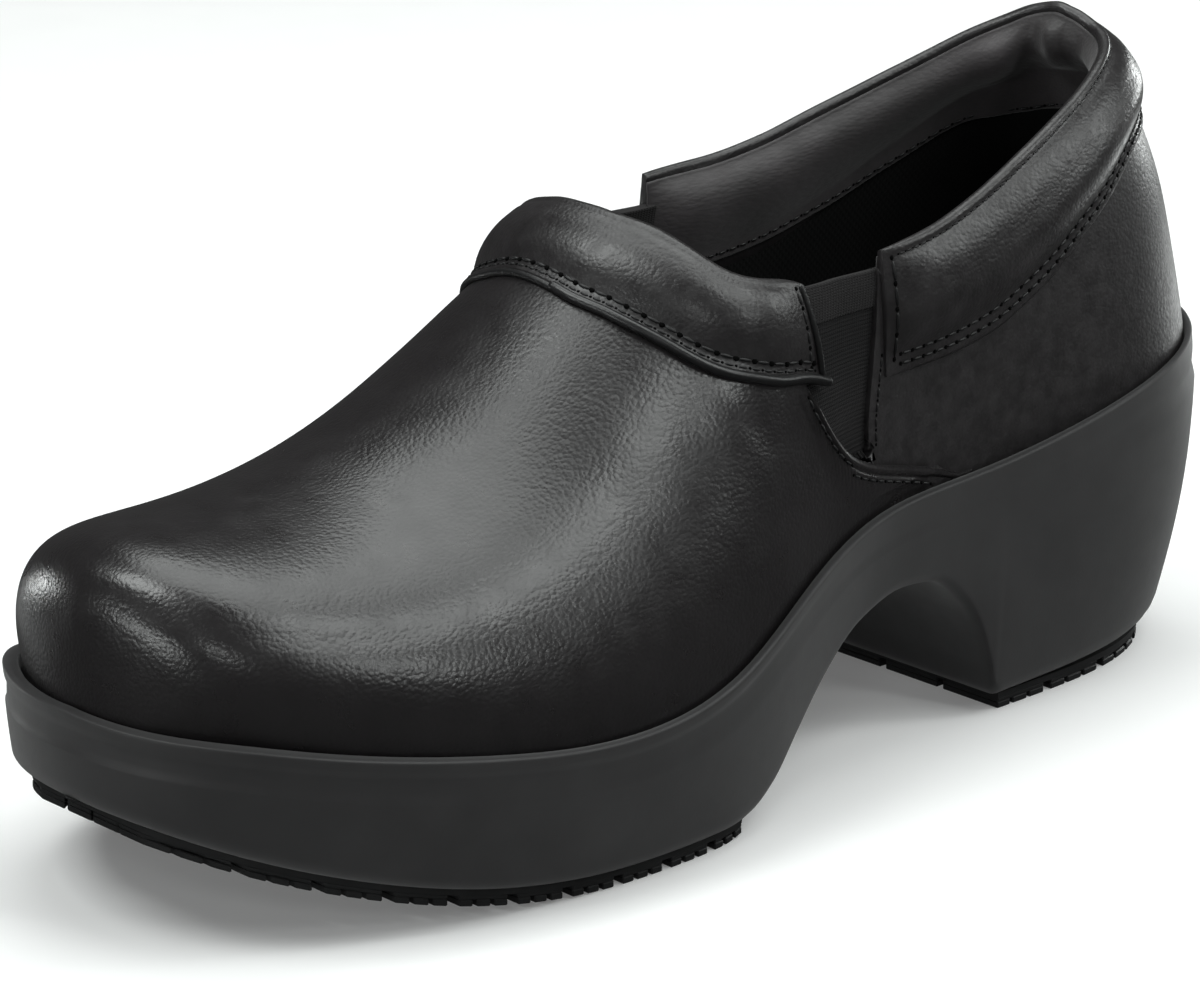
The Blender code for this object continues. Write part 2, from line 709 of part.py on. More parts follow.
def make_outsole(name, extent, blocks, collection):
    """Rubber tread: a thin web with rows of blocks standing down from it."""
    shape = bmesh.new()
    stations = tread_stations(*extent, blocks[0])
    lines = tread_lines(blocks[1])
    inset = EDGE_ROUND + TREAD_INSET
    faces = []
    for depth in (GAP, GAP + TREAD_BASE):
        points = [[under_across(s, a, inset, -depth) for a in lines] for s in stations]
        faces.append(add_grid(shape, points))
    top, web = faces
    border_top = edge_loop(top)
    border_web = edge_loop(web)
    for i in range(len(border_top)):
        j = (i + 1) % len(border_top)
        shape.faces.new((border_top[i], border_top[j], border_web[j], border_web[i]))
    for i in range(0, len(stations) - 1, 2):
        for j in range(0, len(lines) - 1, 2):
            corners = (web[i][j], web[i][j + 1], web[i + 1][j + 1], web[i + 1][j])
            face = shape.faces.get(corners)
            grown = bmesh.ops.extrude_face_region(shape, geom=[face])
            moved = [item for item in grown["geom"] if isinstance(item, bmesh.types.BMVert)]
            drop = -(TREAD - GAP - TREAD_BASE)
            bmesh.ops.translate(shape, verts=moved, vec=(0.0, 0.0, drop))
            shape.faces.remove(face)
    return finish(shape, name, "outsole", collection)


def edge_loop(grid):
    """The border of a grid of vertices, in order."""
    right = [row[-1] for row in grid[1:-1]]
    left = [row[0] for row in grid[1:-1]]
    return grid[0] + right + grid[-1][::-1] + left[::-1]


def make_insole(collection):
    """Padded footbed inside the upper."""
    shape = bmesh.new()
    inset = LEATHER_INSET + WALL + INSOLE_GAP
    rows = []
    for station in perimeter():
        floor = rim_height(station) - BED_DEPTH + GAP
        lateral = outline(1, station, rim_reach, inset, floor)
        medial = outline(-1, station, rim_reach, inset, floor)
        low, high = [], []
        for share in FOOTBED_SHARES:
            dish = 4 * BED_DISH * share * (1 - share) * end_fade(station)
            place = lateral + (medial - lateral) * share
            low.append(place)
            high.append(place + np.array((0.0, 0.0, INSOLE - dish)))
        rows.append(low + high[::-1])
    add_grid(shape, rows, close_across=True)
    return finish(shape, "insole", "lining", collection)


def main():
    """Clear the scene and build every piece."""
    for old in list(bpy.data.objects):
        bpy.data.objects.remove(old)
    collection = bpy.data.collections.new("chef clog")
    bpy.context.scene.collection.children.link(collection)
    make_sole(collection)
    make_outsole("outsole_forefoot", FOREFOOT_TREAD, FOREFOOT_BLOCKS, collection)
    make_outsole("outsole_heel", HEEL_TREAD, HEEL_BLOCKS, collection)
    make_upper(collection)
    make_gore(1, collection)
    make_gore(-1, collection)
    make_throat_band(collection)
    make_collar(collection)
    make_insole(collection)


main()
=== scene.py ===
"""A closed-back chef clog: smooth black leather on a moulded platform sole.

Metres, +Z up, toe towards -Y, the shoe's outer (lateral) side towards +X. The leather
pieces lie on one last, the same one that the solids underneath were drawn on. A place
on its skin is a side (+1 lateral, -1 medial), a station (0 at the toe, 1 at the heel)
and a girth (0 at the sole's rim, 1 at the top centre line).
"""

import json
import logging
from dataclasses import dataclass
from enum import Enum
from typing import Callable, Sequence

import bmesh
import bpy
import numpy as np
from bmesh.types import BMesh
from bpy.types import Material, Mesh, Node, NodeSocket, NodeTree, Object
from mathutils import Matrix, Vector

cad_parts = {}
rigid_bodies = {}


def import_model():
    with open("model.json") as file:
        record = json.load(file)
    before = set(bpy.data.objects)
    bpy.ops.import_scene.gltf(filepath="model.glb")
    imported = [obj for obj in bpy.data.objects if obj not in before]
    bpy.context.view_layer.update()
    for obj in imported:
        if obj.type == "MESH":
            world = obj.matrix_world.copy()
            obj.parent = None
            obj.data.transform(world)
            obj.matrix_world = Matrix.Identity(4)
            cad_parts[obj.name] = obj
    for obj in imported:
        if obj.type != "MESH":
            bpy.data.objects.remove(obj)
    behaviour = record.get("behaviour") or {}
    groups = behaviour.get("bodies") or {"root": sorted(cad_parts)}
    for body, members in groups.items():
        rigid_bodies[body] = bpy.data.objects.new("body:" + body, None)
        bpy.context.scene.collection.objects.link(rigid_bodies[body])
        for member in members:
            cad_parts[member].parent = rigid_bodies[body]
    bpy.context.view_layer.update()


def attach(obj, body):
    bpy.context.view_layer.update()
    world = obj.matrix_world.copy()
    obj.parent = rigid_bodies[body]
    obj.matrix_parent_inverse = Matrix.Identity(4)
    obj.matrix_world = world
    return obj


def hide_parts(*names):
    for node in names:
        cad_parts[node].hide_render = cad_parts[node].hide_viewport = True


LOG = logging.getLogger("clog")
Array = np.ndarray
Pair = tuple[float, float]
Triple = tuple[float, float, float]
MM = 0.001


class Side(Enum):
    """The shoe's outer and inner side, as the sign of X."""

    LATERAL = 1
    MEDIAL = -1


SIDES = tuple(side.value for side in Side)


class Slot(Enum):
    """The record's material slots."""

    LEATHER = "leather"
    ELASTIC = "elastic"
    LINING = "lining"
    SOLE = "sole"
    OUTSOLE = "outsole"


class SmoothCurve:
    """Natural cubic spline through a table's column."""

    def __init__(self, x: Sequence[float], y: Sequence[float], root: bool = False) -> None:
        """Fit the spline.

        Args:
            x: positions of the rows.
            y: values at the rows.
            root: read at the square root of the position, which rounds the toe.
        """
        self.root = root
        self.x = np.sqrt(np.array(x)) if root else np.array(x)
        self.y = np.array(y)
        steps = np.diff(self.x)
        size = len(self.x)
        matrix = np.eye(size)
        right = np.zeros(size)
        slopes = np.diff(self.y) / steps
        for i in range(1, size - 1):
            matrix[i, i - 1:i + 2] = steps[i - 1], 2 * (steps[i - 1] + steps[i]), steps[i]
            right[i] = 6 * (slopes[i] - slopes[i - 1])
        self.bend = np.linalg.solve(matrix, right)

    def __call__(self, at: Array) -> Array:
        """Values at the given positions."""
        x = np.maximum(np.asarray(at, dtype=float), 0.0)
        x = np.sqrt(x) if self.root else x
        i = np.clip(np.searchsorted(self.x, x) - 1, 0, len(self.x) - 2)
        step = self.x[i + 1] - self.x[i]
        before, after = x - self.x[i], self.x[i + 1] - x
        cubic = (self.bend[i] * after ** 3 + self.bend[i + 1] * before ** 3) / (6 * step)
        low = (self.y[i] / step - self.bend[i] * step / 6) * after
        high = (self.y[i + 1] / step - self.bend[i + 1] * step / 6) * before
        return cubic + low + high


class RampCurve:
    """Monotone cubic through a table's column, which never overshoots a row."""

    def __init__(self, x: Sequence[float], y: Sequence[float], level_start: bool = False,
                 level_end: bool = False) -> None:
        """Fit the curve.

        Args:
            x: positions of the rows.
            y: values at the rows.
            level_start: the curve leaves its first row level, as across a centre line.
            level_end: the curve reaches its last row level.
        """
        self.x, self.y = np.array(x, dtype=float), np.array(y, dtype=float)
        slopes = np.diff(self.y) / np.diff(self.x)
        self.slope = np.zeros(len(self.x))
        self.slope[0] = 0.0 if level_start else slopes[0]
        self.slope[-1] = 0.0 if level_end else slopes[-1]
        for i in range(1, len(self.x) - 1):
            before, after = slopes[i - 1], slopes[i]
            if before * after > 0:
                self.slope[i] = 2 * before * after / (before + after)

    def __call__(self, at: Array) -> Array:
        """Values at the given positions, held at the end rows."""
        x = np.asarray(at, dtype=float)
        i = np.clip(np.searchsorted(self.x, x) - 1, 0, len(self.x) - 2)
        step = self.x[i + 1] - self.x[i]
        t = np.clip((x - self.x[i]) / step, 0.0, 1.0)
        rise = self.y[i + 1] - self.y[i]
        first, last = step * self.slope[i], step * self.slope[i + 1]
        bend = first + last - 2 * rise
        return self.y[i] + t * (first + t * (3 * rise - 2 * first - last + t * bend))


@dataclass(frozen=True)
class Ripple:
    """A soft ridge at a place along some distance, or a groove with its height below zero."""

    place: float
    width: float
    height: float = 1.0

    def at(self, distance: Array) -> Array:
        """Height at the given distances."""
        return self.height * np.exp(-((distance - self.place) / self.width) ** 2)


def columns(table: Sequence[Sequence[float]]) -> list[list[float]]:
    """A table's rows turned into its columns."""
    return [list(column) for column in zip(*table)]


def run_along(points: Array, axis: int = 0) -> Array:
    """Distance walked over points.

    Args:
        points: grid of points.
        axis: the direction of the walk, across the rows or along them.

    Returns:
        Distance from the first point, for each point.
    """
    step = np.linalg.norm(np.diff(points, axis=axis), axis=-1)
    start = np.zeros_like(np.take(step, [0], axis=axis))
    return np.concatenate([start, np.cumsum(step, axis=axis)], axis=axis)


# Sole's outline: station, half widths at the rim and at the bottom edge (lateral, medial)
# as shares of half the ball width, and the rim's height as a share of the heel's.
PLAN = (
    (0.000, 0.000, 0.000, 0.000, 0.000, 0.616),
    (0.015, 0.385, 0.395, 0.335, 0.350, 0.603),
    (0.050, 0.625, 0.680, 0.575, 0.630, 0.585),
    (0.120, 0.830, 0.860, 0.785, 0.815, 0.530),
    (0.210, 0.980, 0.955, 0.935, 0.910, 0.475),
    (0.310, 1.040, 0.960, 0.990, 0.915, 0.446),
    (0.410, 1.000, 0.885, 0.955, 0.840, 0.515),
    (0.500, 0.865, 0.770, 0.830, 0.730, 0.660),
    (0.600, 0.720, 0.690, 0.695, 0.660, 0.755),
    (0.700, 0.692, 0.680, 0.655, 0.640, 0.785),
    (0.800, 0.708, 0.702, 0.640, 0.632, 0.850),
    (0.900, 0.755, 0.748, 0.625, 0.618, 0.945),
    (1.000, 0.778, 0.778, 0.585, 0.585, 1.000),
)

# Underside: station at the rim, station of the bottom under it, share of the arch's rise.
UNDER = (
    (0.000, 0.000, 0.000),
    (0.320, 0.320, 0.000),
    (0.400, 0.402, 0.000),
    (0.430, 0.428, 0.030),
    (0.460, 0.455, 0.140),
    (0.500, 0.487, 0.360),
    (0.540, 0.525, 0.640),
    (0.580, 0.568, 0.880),
    (0.615, 0.618, 1.000),
    (0.640, 0.652, 0.970),
    (0.662, 0.680, 0.790),
    (0.682, 0.700, 0.520),
    (0.700, 0.710, 0.260),
    (0.716, 0.716, 0.050),
    (0.735, 0.724, 0.000),
    (0.770, 0.755, 0.000),
    (1.000, 1.000, 0.000),
)

# Last's sections: station, crest height, half width at the top, how far up the wall stays
# upright, how far it leans out, how flat the top is, and the ridge's shift sideways.
LAST = (
    (0.000, 0.510, 0.000, 0.50, 0.00, 0.60, 0.00),
    (0.015, 0.615, 0.000, 0.55, 0.24, 0.66, 0.00),
    (0.050, 0.645, 0.000, 0.58, 0.22, 0.66, -0.01),
    (0.120, 0.643, 0.000, 0.60, 0.14, 0.62, -0.03),
    (0.210, 0.668, 0.000, 0.60, 0.06, 0.54, -0.05),
    (0.310, 0.776, 0.000, 0.58, 0.03, 0.48, -0.06),
    (0.390, 0.918, 0.000, 0.60, 0.00, 0.44, -0.05),
    (0.440, 1.026, 0.000, 0.62, -0.02, 0.44, -0.04),
    (0.500, 1.220, 0.000, 0.64, -0.03, 0.50, -0.02),
    (0.550, 1.300, 0.250, 0.60, -0.02, 0.54, 0.00),
    (0.620, 1.320, 0.500, 0.50, 0.00, 0.34, 0.00),
    (0.720, 1.330, 0.370, 0.42, 0.00, 0.25, 0.00),
    (0.850, 1.340, 0.190, 0.40, -0.03, 0.20, 0.00),
    (1.000, 1.350, 0.100, 0.40, -0.08, 0.10, 0.00),
)

# Throat band's edges, from the centre line to the elastic: share of the run, then
# station and girth of the top edge and of the lower edge.
THROAT = (
    (0.00, 0.440, 1.000, 0.392, 1.000),
    (0.15, 0.442, 0.920, 0.393, 0.885),
    (0.35, 0.451, 0.803, 0.403, 0.765),
    (0.55, 0.462, 0.690, 0.422, 0.628),
    (0.65, 0.470, 0.634, 0.437, 0.546),
    (0.75, 0.481, 0.586, 0.456, 0.474),
    (0.88, 0.501, 0.532, 0.494, 0.373),
    (1.00, 0.522, 0.498, 0.532, 0.322),
)

# Farthest back that the elastic's front edge may lie and still be hidden by the vamp:
# share of the height, station.
GORE_COVER = (
    (0.00, 0.566),
    (0.30, 0.524),
    (0.50, 0.517),
    (1.00, 0.522),
)

# Elastic's opening from its foot up: share, front and back station, height as a share
# of the instep's.
GORE = (
    (0.00, 0.566, 0.580, 0.580),
    (0.12, 0.548, 0.580, 0.625),
    (0.28, 0.536, 0.583, 0.680),
    (0.50, 0.536, 0.588, 0.750),
    (0.75, 0.531, 0.593, 0.830),
    (1.00, 0.522, 0.596, 0.905),
)

# Collar's top and lower edge: station, and heights as shares of the height at the back.
COLLAR = (
    (0.592, 0.789, 0.603),
    (0.650, 0.805, 0.607),
    (0.700, 0.832, 0.621),
    (0.760, 0.878, 0.670),
    (0.820, 0.922, 0.745),
    (0.900, 0.972, 0.838),
    (1.000, 1.000, 0.874),
)

# Rise of the collar's top edge over its table, against the distance from the back in
# stations, lateral above zero.
COLLAR_TILT = (
    (-0.42, 2.4 * MM),
    (-0.37, 1.7 * MM),
    (-0.32, 0.5 * MM),
    (-0.27, -0.3 * MM),
    (-0.20, -0.9 * MM),
    (-0.15, -0.7 * MM),
    (-0.115, 0.0),
    (-0.08, 1.1 * MM),
    (-0.05, 2.1 * MM),
    (-0.02, 2.3 * MM),
    (0.01, 1.2 * MM),
    (0.04, 0.0),
    (0.30, 0.0),
)

# Vamp's free edge, from under the throat band down over the elastic and back over the
# quarter to the rim: share of the run, station at the foot of the leather's column,
# station of the edge, and its height as a share of the instep's.
VAMP_EDGE = (
    (0.00, 0.510, 0.522, 0.905),
    (0.18, 0.520, 0.510, 0.820),
    (0.34, 0.530, 0.513, 0.745),
    (0.46, 0.539, 0.522, 0.694),
    (0.60, 0.556, 0.539, 0.632),
    (0.70, 0.572, 0.557, 0.592),
    (0.78, 0.590, 0.580, 0.565),
    (0.86, 0.618, 0.612, 0.541),
    (0.93, 0.650, 0.648, 0.516),
    (1.00, 0.690, 0.688, 0.478),
)


@dataclass
class Last:
    """The form that the leather is pulled over, and the sole's outline around it.

    Lengths are in metres. spring_end and fan_start are stations: where the toe spring
    ends, and where the sections start to turn round the heel. The heel swells by
    swell_up, read against height, within swell_round, read against the distance from
    the back in stations.
    """

    length: float = 0.262
    ball_width: float = 0.1010
    heel_rim: float = 0.0630
    toe_spring: float = 0.0200
    spring_end: float = 0.32
    instep: float = 0.1010
    topline_back: float = 0.1190
    tread: float = 0.0033
    arch_rise: float = 0.0308
    lip: float = 0.0022
    bed_depth: float = 0.0070
    seat_gap: float = 0.0005
    fan_start: float = 0.70
    steps: int = 32
    slope_step: float = 0.012
    tip_lift: float = 0.45
    swell_round: Ripple = Ripple(0.02, 0.11)
    swell_up: Ripple = Ripple(0.094, 0.017, 1.9 * MM)

    def __post_init__(self) -> None:
        """Read the tables as curves."""
        self.half = 0.5 * self.ball_width
        self.inset = self.lip + self.seat_gap
        station, *rest = columns(PLAN)
        self.rim_l, self.rim_m, self.floor_l, self.floor_m, self.rim = (
            SmoothCurve(station, values, root=True) for values in rest)
        station, *rest = columns(UNDER)
        self.below, self.arch = (RampCurve(station, values) for values in rest)
        station, crest, top, upright, lean, crown, ridge = columns(LAST)
        self.crest, self.upright, self.lean, self.crown, self.ridge = (
            SmoothCurve(station, values, root=True)
            for values in (crest, upright, lean, crown, ridge))
        self.top = RampCurve(station, top)
        share, *rest = columns(THROAT)
        self.throat = [RampCurve(share, values, level_start=i in (0, 2))
                       for i, values in enumerate(rest)]
        share, *rest = columns(GORE)
        self.gore_front, self.gore_back, self.gore_height = (
            RampCurve(share, values) for values in rest)
        station, *rest = columns(COLLAR)
        self.collar_top, self.collar_low = (
            RampCurve(station, values, level_end=True) for values in rest)
        self.tilt = RampCurve(*columns(COLLAR_TILT))
        share, *rest = columns(VAMP_EDGE)
        self.edge_foot, self.edge_station, self.edge_height = (
            SmoothCurve(share, values) for values in rest)
        around = np.linspace(0, 1, 2000)
        widest = [self.rim_l(around).max(), self.rim_m(around).max()]
        self.spine_x = 0.5 * (widest[1] - widest[0]) * self.half

    def spine(self, station: Array) -> tuple[Array, Array]:
        """A section's y, and the angle it has turned round the heel.

        Args:
            station: the sections.

        Returns:
            The y of each section's middle, and its turn in radians.
        """
        share = np.maximum(0.0, (station - self.fan_start) / (1 - self.fan_start))
        half_fan = 0.5 * (1 - self.fan_start) * self.length
        turned = (self.fan_start - 0.5) * self.length + half_fan * (1 - (1 - share) ** 2)
        y = np.where(station <= self.fan_start, (station - 0.5) * self.length, turned)
        return y, 0.5 * np.pi * share ** 2

    def in_section(self, side: Array, station: Array, reach: Array, height: Array,
                   pull: float = 0.0) -> Array:
        """World points from half widths and heights in their sections.

        Args:
            side: +1 or -1 for each point.
            station: the sections.
            reach: half widths.
            height: heights above the floor.
            pull: how far the toe is shortened.

        Returns:
            Points, one row each.
        """
        y, turn = self.spine(station)
        y = y + pull * np.maximum(0.0, 1 - 2 * station)
        x = self.spine_x + side * reach * np.cos(turn)
        return np.stack(np.broadcast_arrays(x, y + reach * np.sin(turn), height), axis=-1)

    def reach(self, side: Array, station: Array, floor: bool = False) -> Array:
        """Half width of the sole at its rim, or at its bottom edge.

        Args:
            side: +1 or -1.
            station: the sections.
            floor: at the bottom edge.

        Returns:
            Half widths.
        """
        lateral, medial = (self.floor_l, self.floor_m) if floor else (self.rim_l, self.rim_m)
        wide = np.where(side > 0, lateral(station), medial(station))
        return np.maximum(wide, 0.0) * self.half

    def rim_height(self, station: Array) -> Array:
        """Height of the sole's rim above the floor."""
        return self.rim(station) * self.heel_rim

    def inset_reach(self, reach: Array, inset: Array) -> Array:
        """A half width made smaller, less so where the toe closes."""
        fade = 1 - np.minimum(1.0, reach / (0.8 * self.half))
        return reach - inset * (1 - fade ** 2)

    def outline(self, side: Array, station: Array, inset: Array, height: Array) -> Array:
        """Points of the rim's outline, moved inwards."""
        reach = self.inset_reach(self.reach(side, station), inset)
        return self.in_section(side, station, reach, height, inset)

    def controls(self, side: Array, station: Array) -> Array:
        """Control points of the sections' curves.

        Args:
            side: +1 or -1.
            station: the sections.

        Returns:
            For each section four points, as half width and height.
        """
        base = self.inset_reach(self.reach(side, station), self.inset)
        low = self.rim_height(station)
        high = self.crest(station) * self.instep
        top = (self.top(station) + side * self.ridge(station)) * self.half
        rise = high - low
        points = ((base, low),
                  (base + self.lean(station) * rise, low + self.upright(station) * rise),
                  (top + self.crown(station) * (base - top), high),
                  (top, high))
        return np.stack([np.stack(np.broadcast_arrays(*pair), -1) for pair in points], axis=-2)

    @staticmethod
    def bezier(points: Array, t: Array) -> Array:
        """Cubic curves read at t.

        Args:
            points: four control points for each curve.
            t: for each curve, the places at which it is read.

        Returns:
            For each curve, its point at each place.
        """
        t = t[..., None]
        p = points[..., None, :, :]
        return ((1 - t) ** 3 * p[..., 0, :] + 3 * t * (1 - t) ** 2 * p[..., 1, :]
                + 3 * t ** 2 * (1 - t) * p[..., 2, :] + t ** 3 * p[..., 3, :])

    def walked(self, points: Array) -> tuple[Array, Array]:
        """Even steps along each section's curve.

        Args:
            points: the curves' control points.

        Returns:
            Points on each curve, and the share of its girth walked at each.
        """
        t = np.linspace(0, 1, self.steps + 1)
        curve = self.bezier(points, np.broadcast_to(t, (len(points), len(t))))
        total = run_along(curve, axis=1)
        return curve, total / total[:, -1:]

    def on_last(self, side: Array, station: Array, girth: Array) -> Array:
        """Points on the last's skin.

        Args:
            side: +1 or -1.
            station: 0 at the toe, 1 at the heel.
            girth: 0 at the rim, 1 at the top centre line.

        Returns:
            One row for each point.
        """
        side, station, girth = (np.ravel(a) for a in np.broadcast_arrays(
            np.asarray(side, dtype=float), station, girth))
        points = self.controls(side, station)
        _, share = self.walked(points)
        i = np.clip((share <= girth[:, None]).sum(axis=1) - 1, 0, self.steps - 1)
        rows = np.arange(len(i))
        before, after = share[rows, i], share[rows, i + 1]
        t = (i + np.clip((girth - before) / (after - before), 0, 1)) / self.steps
        flat = self.bezier(points, t[:, None])[:, 0]
        return self.in_section(side, station, flat[:, 0], flat[:, 1], self.inset)

    def girth_at(self, side: Array, station: Array, height: Array) -> Array:
        """Girths at which the skin reaches heights above the floor.

        Args:
            side: +1 or -1.
            station: 0 at the toe, 1 at the heel.
            height: heights above the floor.

        Returns:
            One girth for each point.
        """
        side, station, height = (np.ravel(a) for a in np.broadcast_arrays(
            np.asarray(side, dtype=float), station, height))
        curve, share = self.walked(self.controls(side, station))
        return np.array([np.interp(h, c[:, 1], s) for h, c, s in zip(height, curve, share)])

    def skin(self, side: Array, station: Array, girth: Array, out: Array = 0.0) -> Array:
        """Points at a distance outside the skin, with the shape of the inputs.

        Args:
            side: +1 or -1.
            station: 0 at the toe, 1 at the heel.
            girth: 0 at the rim, 1 at the top centre line.
            out: distance along the skin's normal.

        Returns:
            Points in the last axis.
        """
        side, station, girth, out = np.broadcast_arrays(side, station, girth, out)
        shape = station.shape
        side, station, girth, out = (np.ravel(np.asarray(a, dtype=float))
                                     for a in (side, station, girth, out))
        here = self.on_last(side, station, girth)
        root = np.sqrt(np.maximum(station, 0))
        ahead = np.minimum(root + self.slope_step, 1.0) ** 2
        behind = np.maximum(root - self.slope_step, 0.0) ** 2
        up = np.minimum(girth + 2 * self.slope_step, 1.0)
        down = np.maximum(girth - 2 * self.slope_step, 0.0)
        along = self.on_last(side, ahead, girth) - self.on_last(side, behind, girth)
        across = self.on_last(side, station, up) - self.on_last(side, station, down)
        normal = np.cross(along, across) * side[:, None]
        normal[station >= 1.0, 0] = 0.0
        tip = station <= 0.0
        ahead_up = np.stack((0 * girth, -1 + 0 * girth, self.tip_lift * girth ** 3), -1)
        normal[tip] = ahead_up[tip]
        normal /= np.linalg.norm(normal, axis=1)[:, None]
        out = out + self.swell_round.at(side * (1 - station)) * self.swell_up.at(here[:, 2])
        return (here + normal * out[:, None]).reshape(*shape, 3)

    def throat_place(self, share: Array, down: Array) -> tuple[Array, Array]:
        """Station and girth on the throat band.

        Args:
            share: from the centre line to the elastic, below zero on the medial side.
            down: share of the way down the band.

        Returns:
            Stations and girths.
        """
        share = np.abs(share)
        top_station, top_girth, low_station, low_girth = (curve(share) for curve in self.throat)
        return (top_station + (low_station - top_station) * down,
                top_girth + (low_girth - top_girth) * down)

    def collar_place(self, side: Array, station: Array, down: Array) -> tuple[Array, Array]:
        """Station and girth on the collar.

        Args:
            side: +1 or -1.
            station: along the collar.
            down: share of the way down the band.

        Returns:
            Stations and girths.
        """
        tilt = self.tilt(np.asarray(side) * (1 - np.asarray(station)))
        top = self.girth_at(side, station, self.collar_top(station) * self.topline_back + tilt)
        low = self.girth_at(side, station, self.collar_low(station) * self.topline_back)
        return station, top + (low - top) * down

    def gore_place(self, side: Array, front: bool, up: Array) -> tuple[Array, Array]:
        """Station and girth on the front or back edge of the elastic's opening."""
        station = (self.gore_front if front else self.gore_back)(up)
        return station, self.girth_at(side, station, self.gore_height(up) * self.instep)

    def vamp_edge(self, side: Array, share: Array, back: float = 0.0) -> tuple[Array, Array]:
        """Station and girth on the vamp's free edge.

        Args:
            side: +1 or -1.
            share: place along the edge.
            back: distance from the edge into the leather.

        Returns:
            Stations and girths.
        """
        step = 0.01
        y = self.edge_station(share) * self.length
        z = self.edge_height(share) * self.instep
        ahead = np.stack((self.edge_station(share + step) * self.length - y,
                          self.edge_height(share + step) * self.instep - z))
        ahead /= np.linalg.norm(ahead, axis=0)
        station = (y + back * ahead[1]) / self.length
        return station, self.girth_at(side, station, z - back * ahead[0])

    def under_edge(self, side: Array, station: Array, inset: Array, height: Array) -> Array:
        """Points of the moulded unit's bottom edge.

        Args:
            side: +1 or -1.
            station: along the rim above it.
            inset: distance inwards from the edge.
            height: distance above the moulded unit's underside.

        Returns:
            Points in the last axis.
        """
        reach = self.inset_reach(self.reach(side, station, floor=True), inset)
        points = self.in_section(side, self.below(station), reach, self.tread + height, inset)
        spring = np.maximum(0.0, 1 - (points[..., 1] / self.length + 0.5) / self.spring_end) ** 2
        points[..., 2] += self.arch(station) * (self.arch_rise - self.tread)
        points[..., 2] += self.toe_spring * spring
        return points

    def under_across(self, station: Array, across: Array, inset: float, height: Array) -> Array:
        """Points of the underside.

        Args:
            station: along the rim above it.
            across: from -1 at the medial edge to 1 at the lateral.
            inset: distance inwards from the edges.
            height: distance above the moulded unit's underside.

        Returns:
            Points in the last axis.
        """
        one = np.ones_like(np.asarray(station, dtype=float))
        lateral = self.under_edge(one, station, inset, height)
        medial = self.under_edge(-one, station, inset, height)
        return medial + (lateral - medial) * 0.5 * (1 + np.asarray(across)[..., None])


def hex_colour(code: str) -> tuple[float, float, float, float]:
    """Turn an sRGB colour to linear.

    Args:
        code: the hex code, with its number sign.

    Returns:
        Red, green, blue and alpha.
    """
    parts = (int(code[i:i + 2], 16) / 255 for i in (1, 3, 5))
    linear = [p / 12.92 if p <= 0.04045 else ((p + 0.055) / 1.055) ** 2.4 for p in parts]
    return (*linear, 1.0)


def add_node(tree: NodeTree, kind: str, links: dict | None = None,
             **settings: object) -> Node:
    """Add a shader node with its settings and links.

    Args:
        tree: the material's node tree.
        kind: the node's type name without its prefix.
        links: for each input, an output socket or a value.
        settings: the node's own properties.

    Returns:
        The new node.
    """
    node = tree.nodes.new("ShaderNode" + kind)
    for name, value in settings.items():
        setattr(node, name, value)
    for name, value in (links or {}).items():
        if isinstance(value, NodeSocket):
            tree.links.new(value, node.inputs[name])
        else:
            node.inputs[name].default_value = value
    return node


WHITE = (1.0, 1.0, 1.0, 1.0)


@dataclass(frozen=True)
class Finish:
    """A plain finish: colour, roughness with its spread, and coat.

    The colour clouds between colour and deep over patches as wide as blotch, and the
    roughness wanders by spread over patches a third as wide.
    """

    name: str
    colour: str
    deep: str
    roughness: float
    spread: float = 0.06
    coat: float = 0.0
    coat_roughness: float = 0.3
    specular: float = 0.5
    sheen: float = 0.0
    blotch: float = 18 * MM
    blotch_range: Pair = (0.35, 0.65)
    wander: float = 3.1
    wander_range: Pair = (0.3, 0.7)
    glow: float = 0.0

    def build(self) -> Material:
        """Make the material, with the relief that the finish adds."""
        made = bpy.data.materials.new(self.name)
        made.use_nodes = True
        tree = made.node_tree
        shader = tree.nodes["Principled BSDF"]
        place = add_node(tree, "TexCoord").outputs["Object"]
        cloud = add_node(tree, "TexNoise", {"Vector": place, "Scale": 1 / self.blotch,
                                            "Detail": 3.0, "Roughness": 0.55}).outputs["Fac"]
        tone = add_node(tree, "ValToRGB", {"Fac": cloud})
        stops = zip(tone.color_ramp.elements, self.blotch_range, (self.deep, self.colour))
        for stop, position, code in stops:
            stop.position = position
            stop.color = hex_colour(code)
        tree.links.new(tone.outputs["Color"], shader.inputs["Base Color"])
        fine = add_node(tree, "TexNoise", {"Vector": place, "Scale": self.wander / self.blotch,
                                           "Detail": 4.0}).outputs["Fac"]
        rough = add_node(tree, "MapRange", {
            "Value": fine, "From Min": self.wander_range[0], "From Max": self.wander_range[1],
            "To Min": self.roughness - self.spread, "To Max": self.roughness + self.spread})
        tree.links.new(rough.outputs["Result"], shader.inputs["Roughness"])
        for name, value in (("Specular IOR Level", self.specular), ("Coat Weight", self.coat),
                            ("Coat Roughness", self.coat_roughness),
                            ("Sheen Weight", self.sheen), ("Emission Color", WHITE),
                            ("Emission Strength", self.glow)):
            shader.inputs[name].default_value = value
        height = self.relief(tree, place)
        if height is not None:
            bump, depth = height
            node = add_node(tree, "Bump", {"Height": bump, "Distance": depth, "Strength": 1.0})
            tree.links.new(node.outputs["Normal"], shader.inputs["Normal"])
            if self.coat:
                tree.links.new(node.outputs["Normal"], shader.inputs["Coat Normal"])
        return made

    def relief(self, tree: NodeTree,
               place: NodeSocket) -> tuple[NodeSocket, float] | None:
        """Height socket from 0 to 1 and its depth in metres, or None where it is smooth."""
        return None


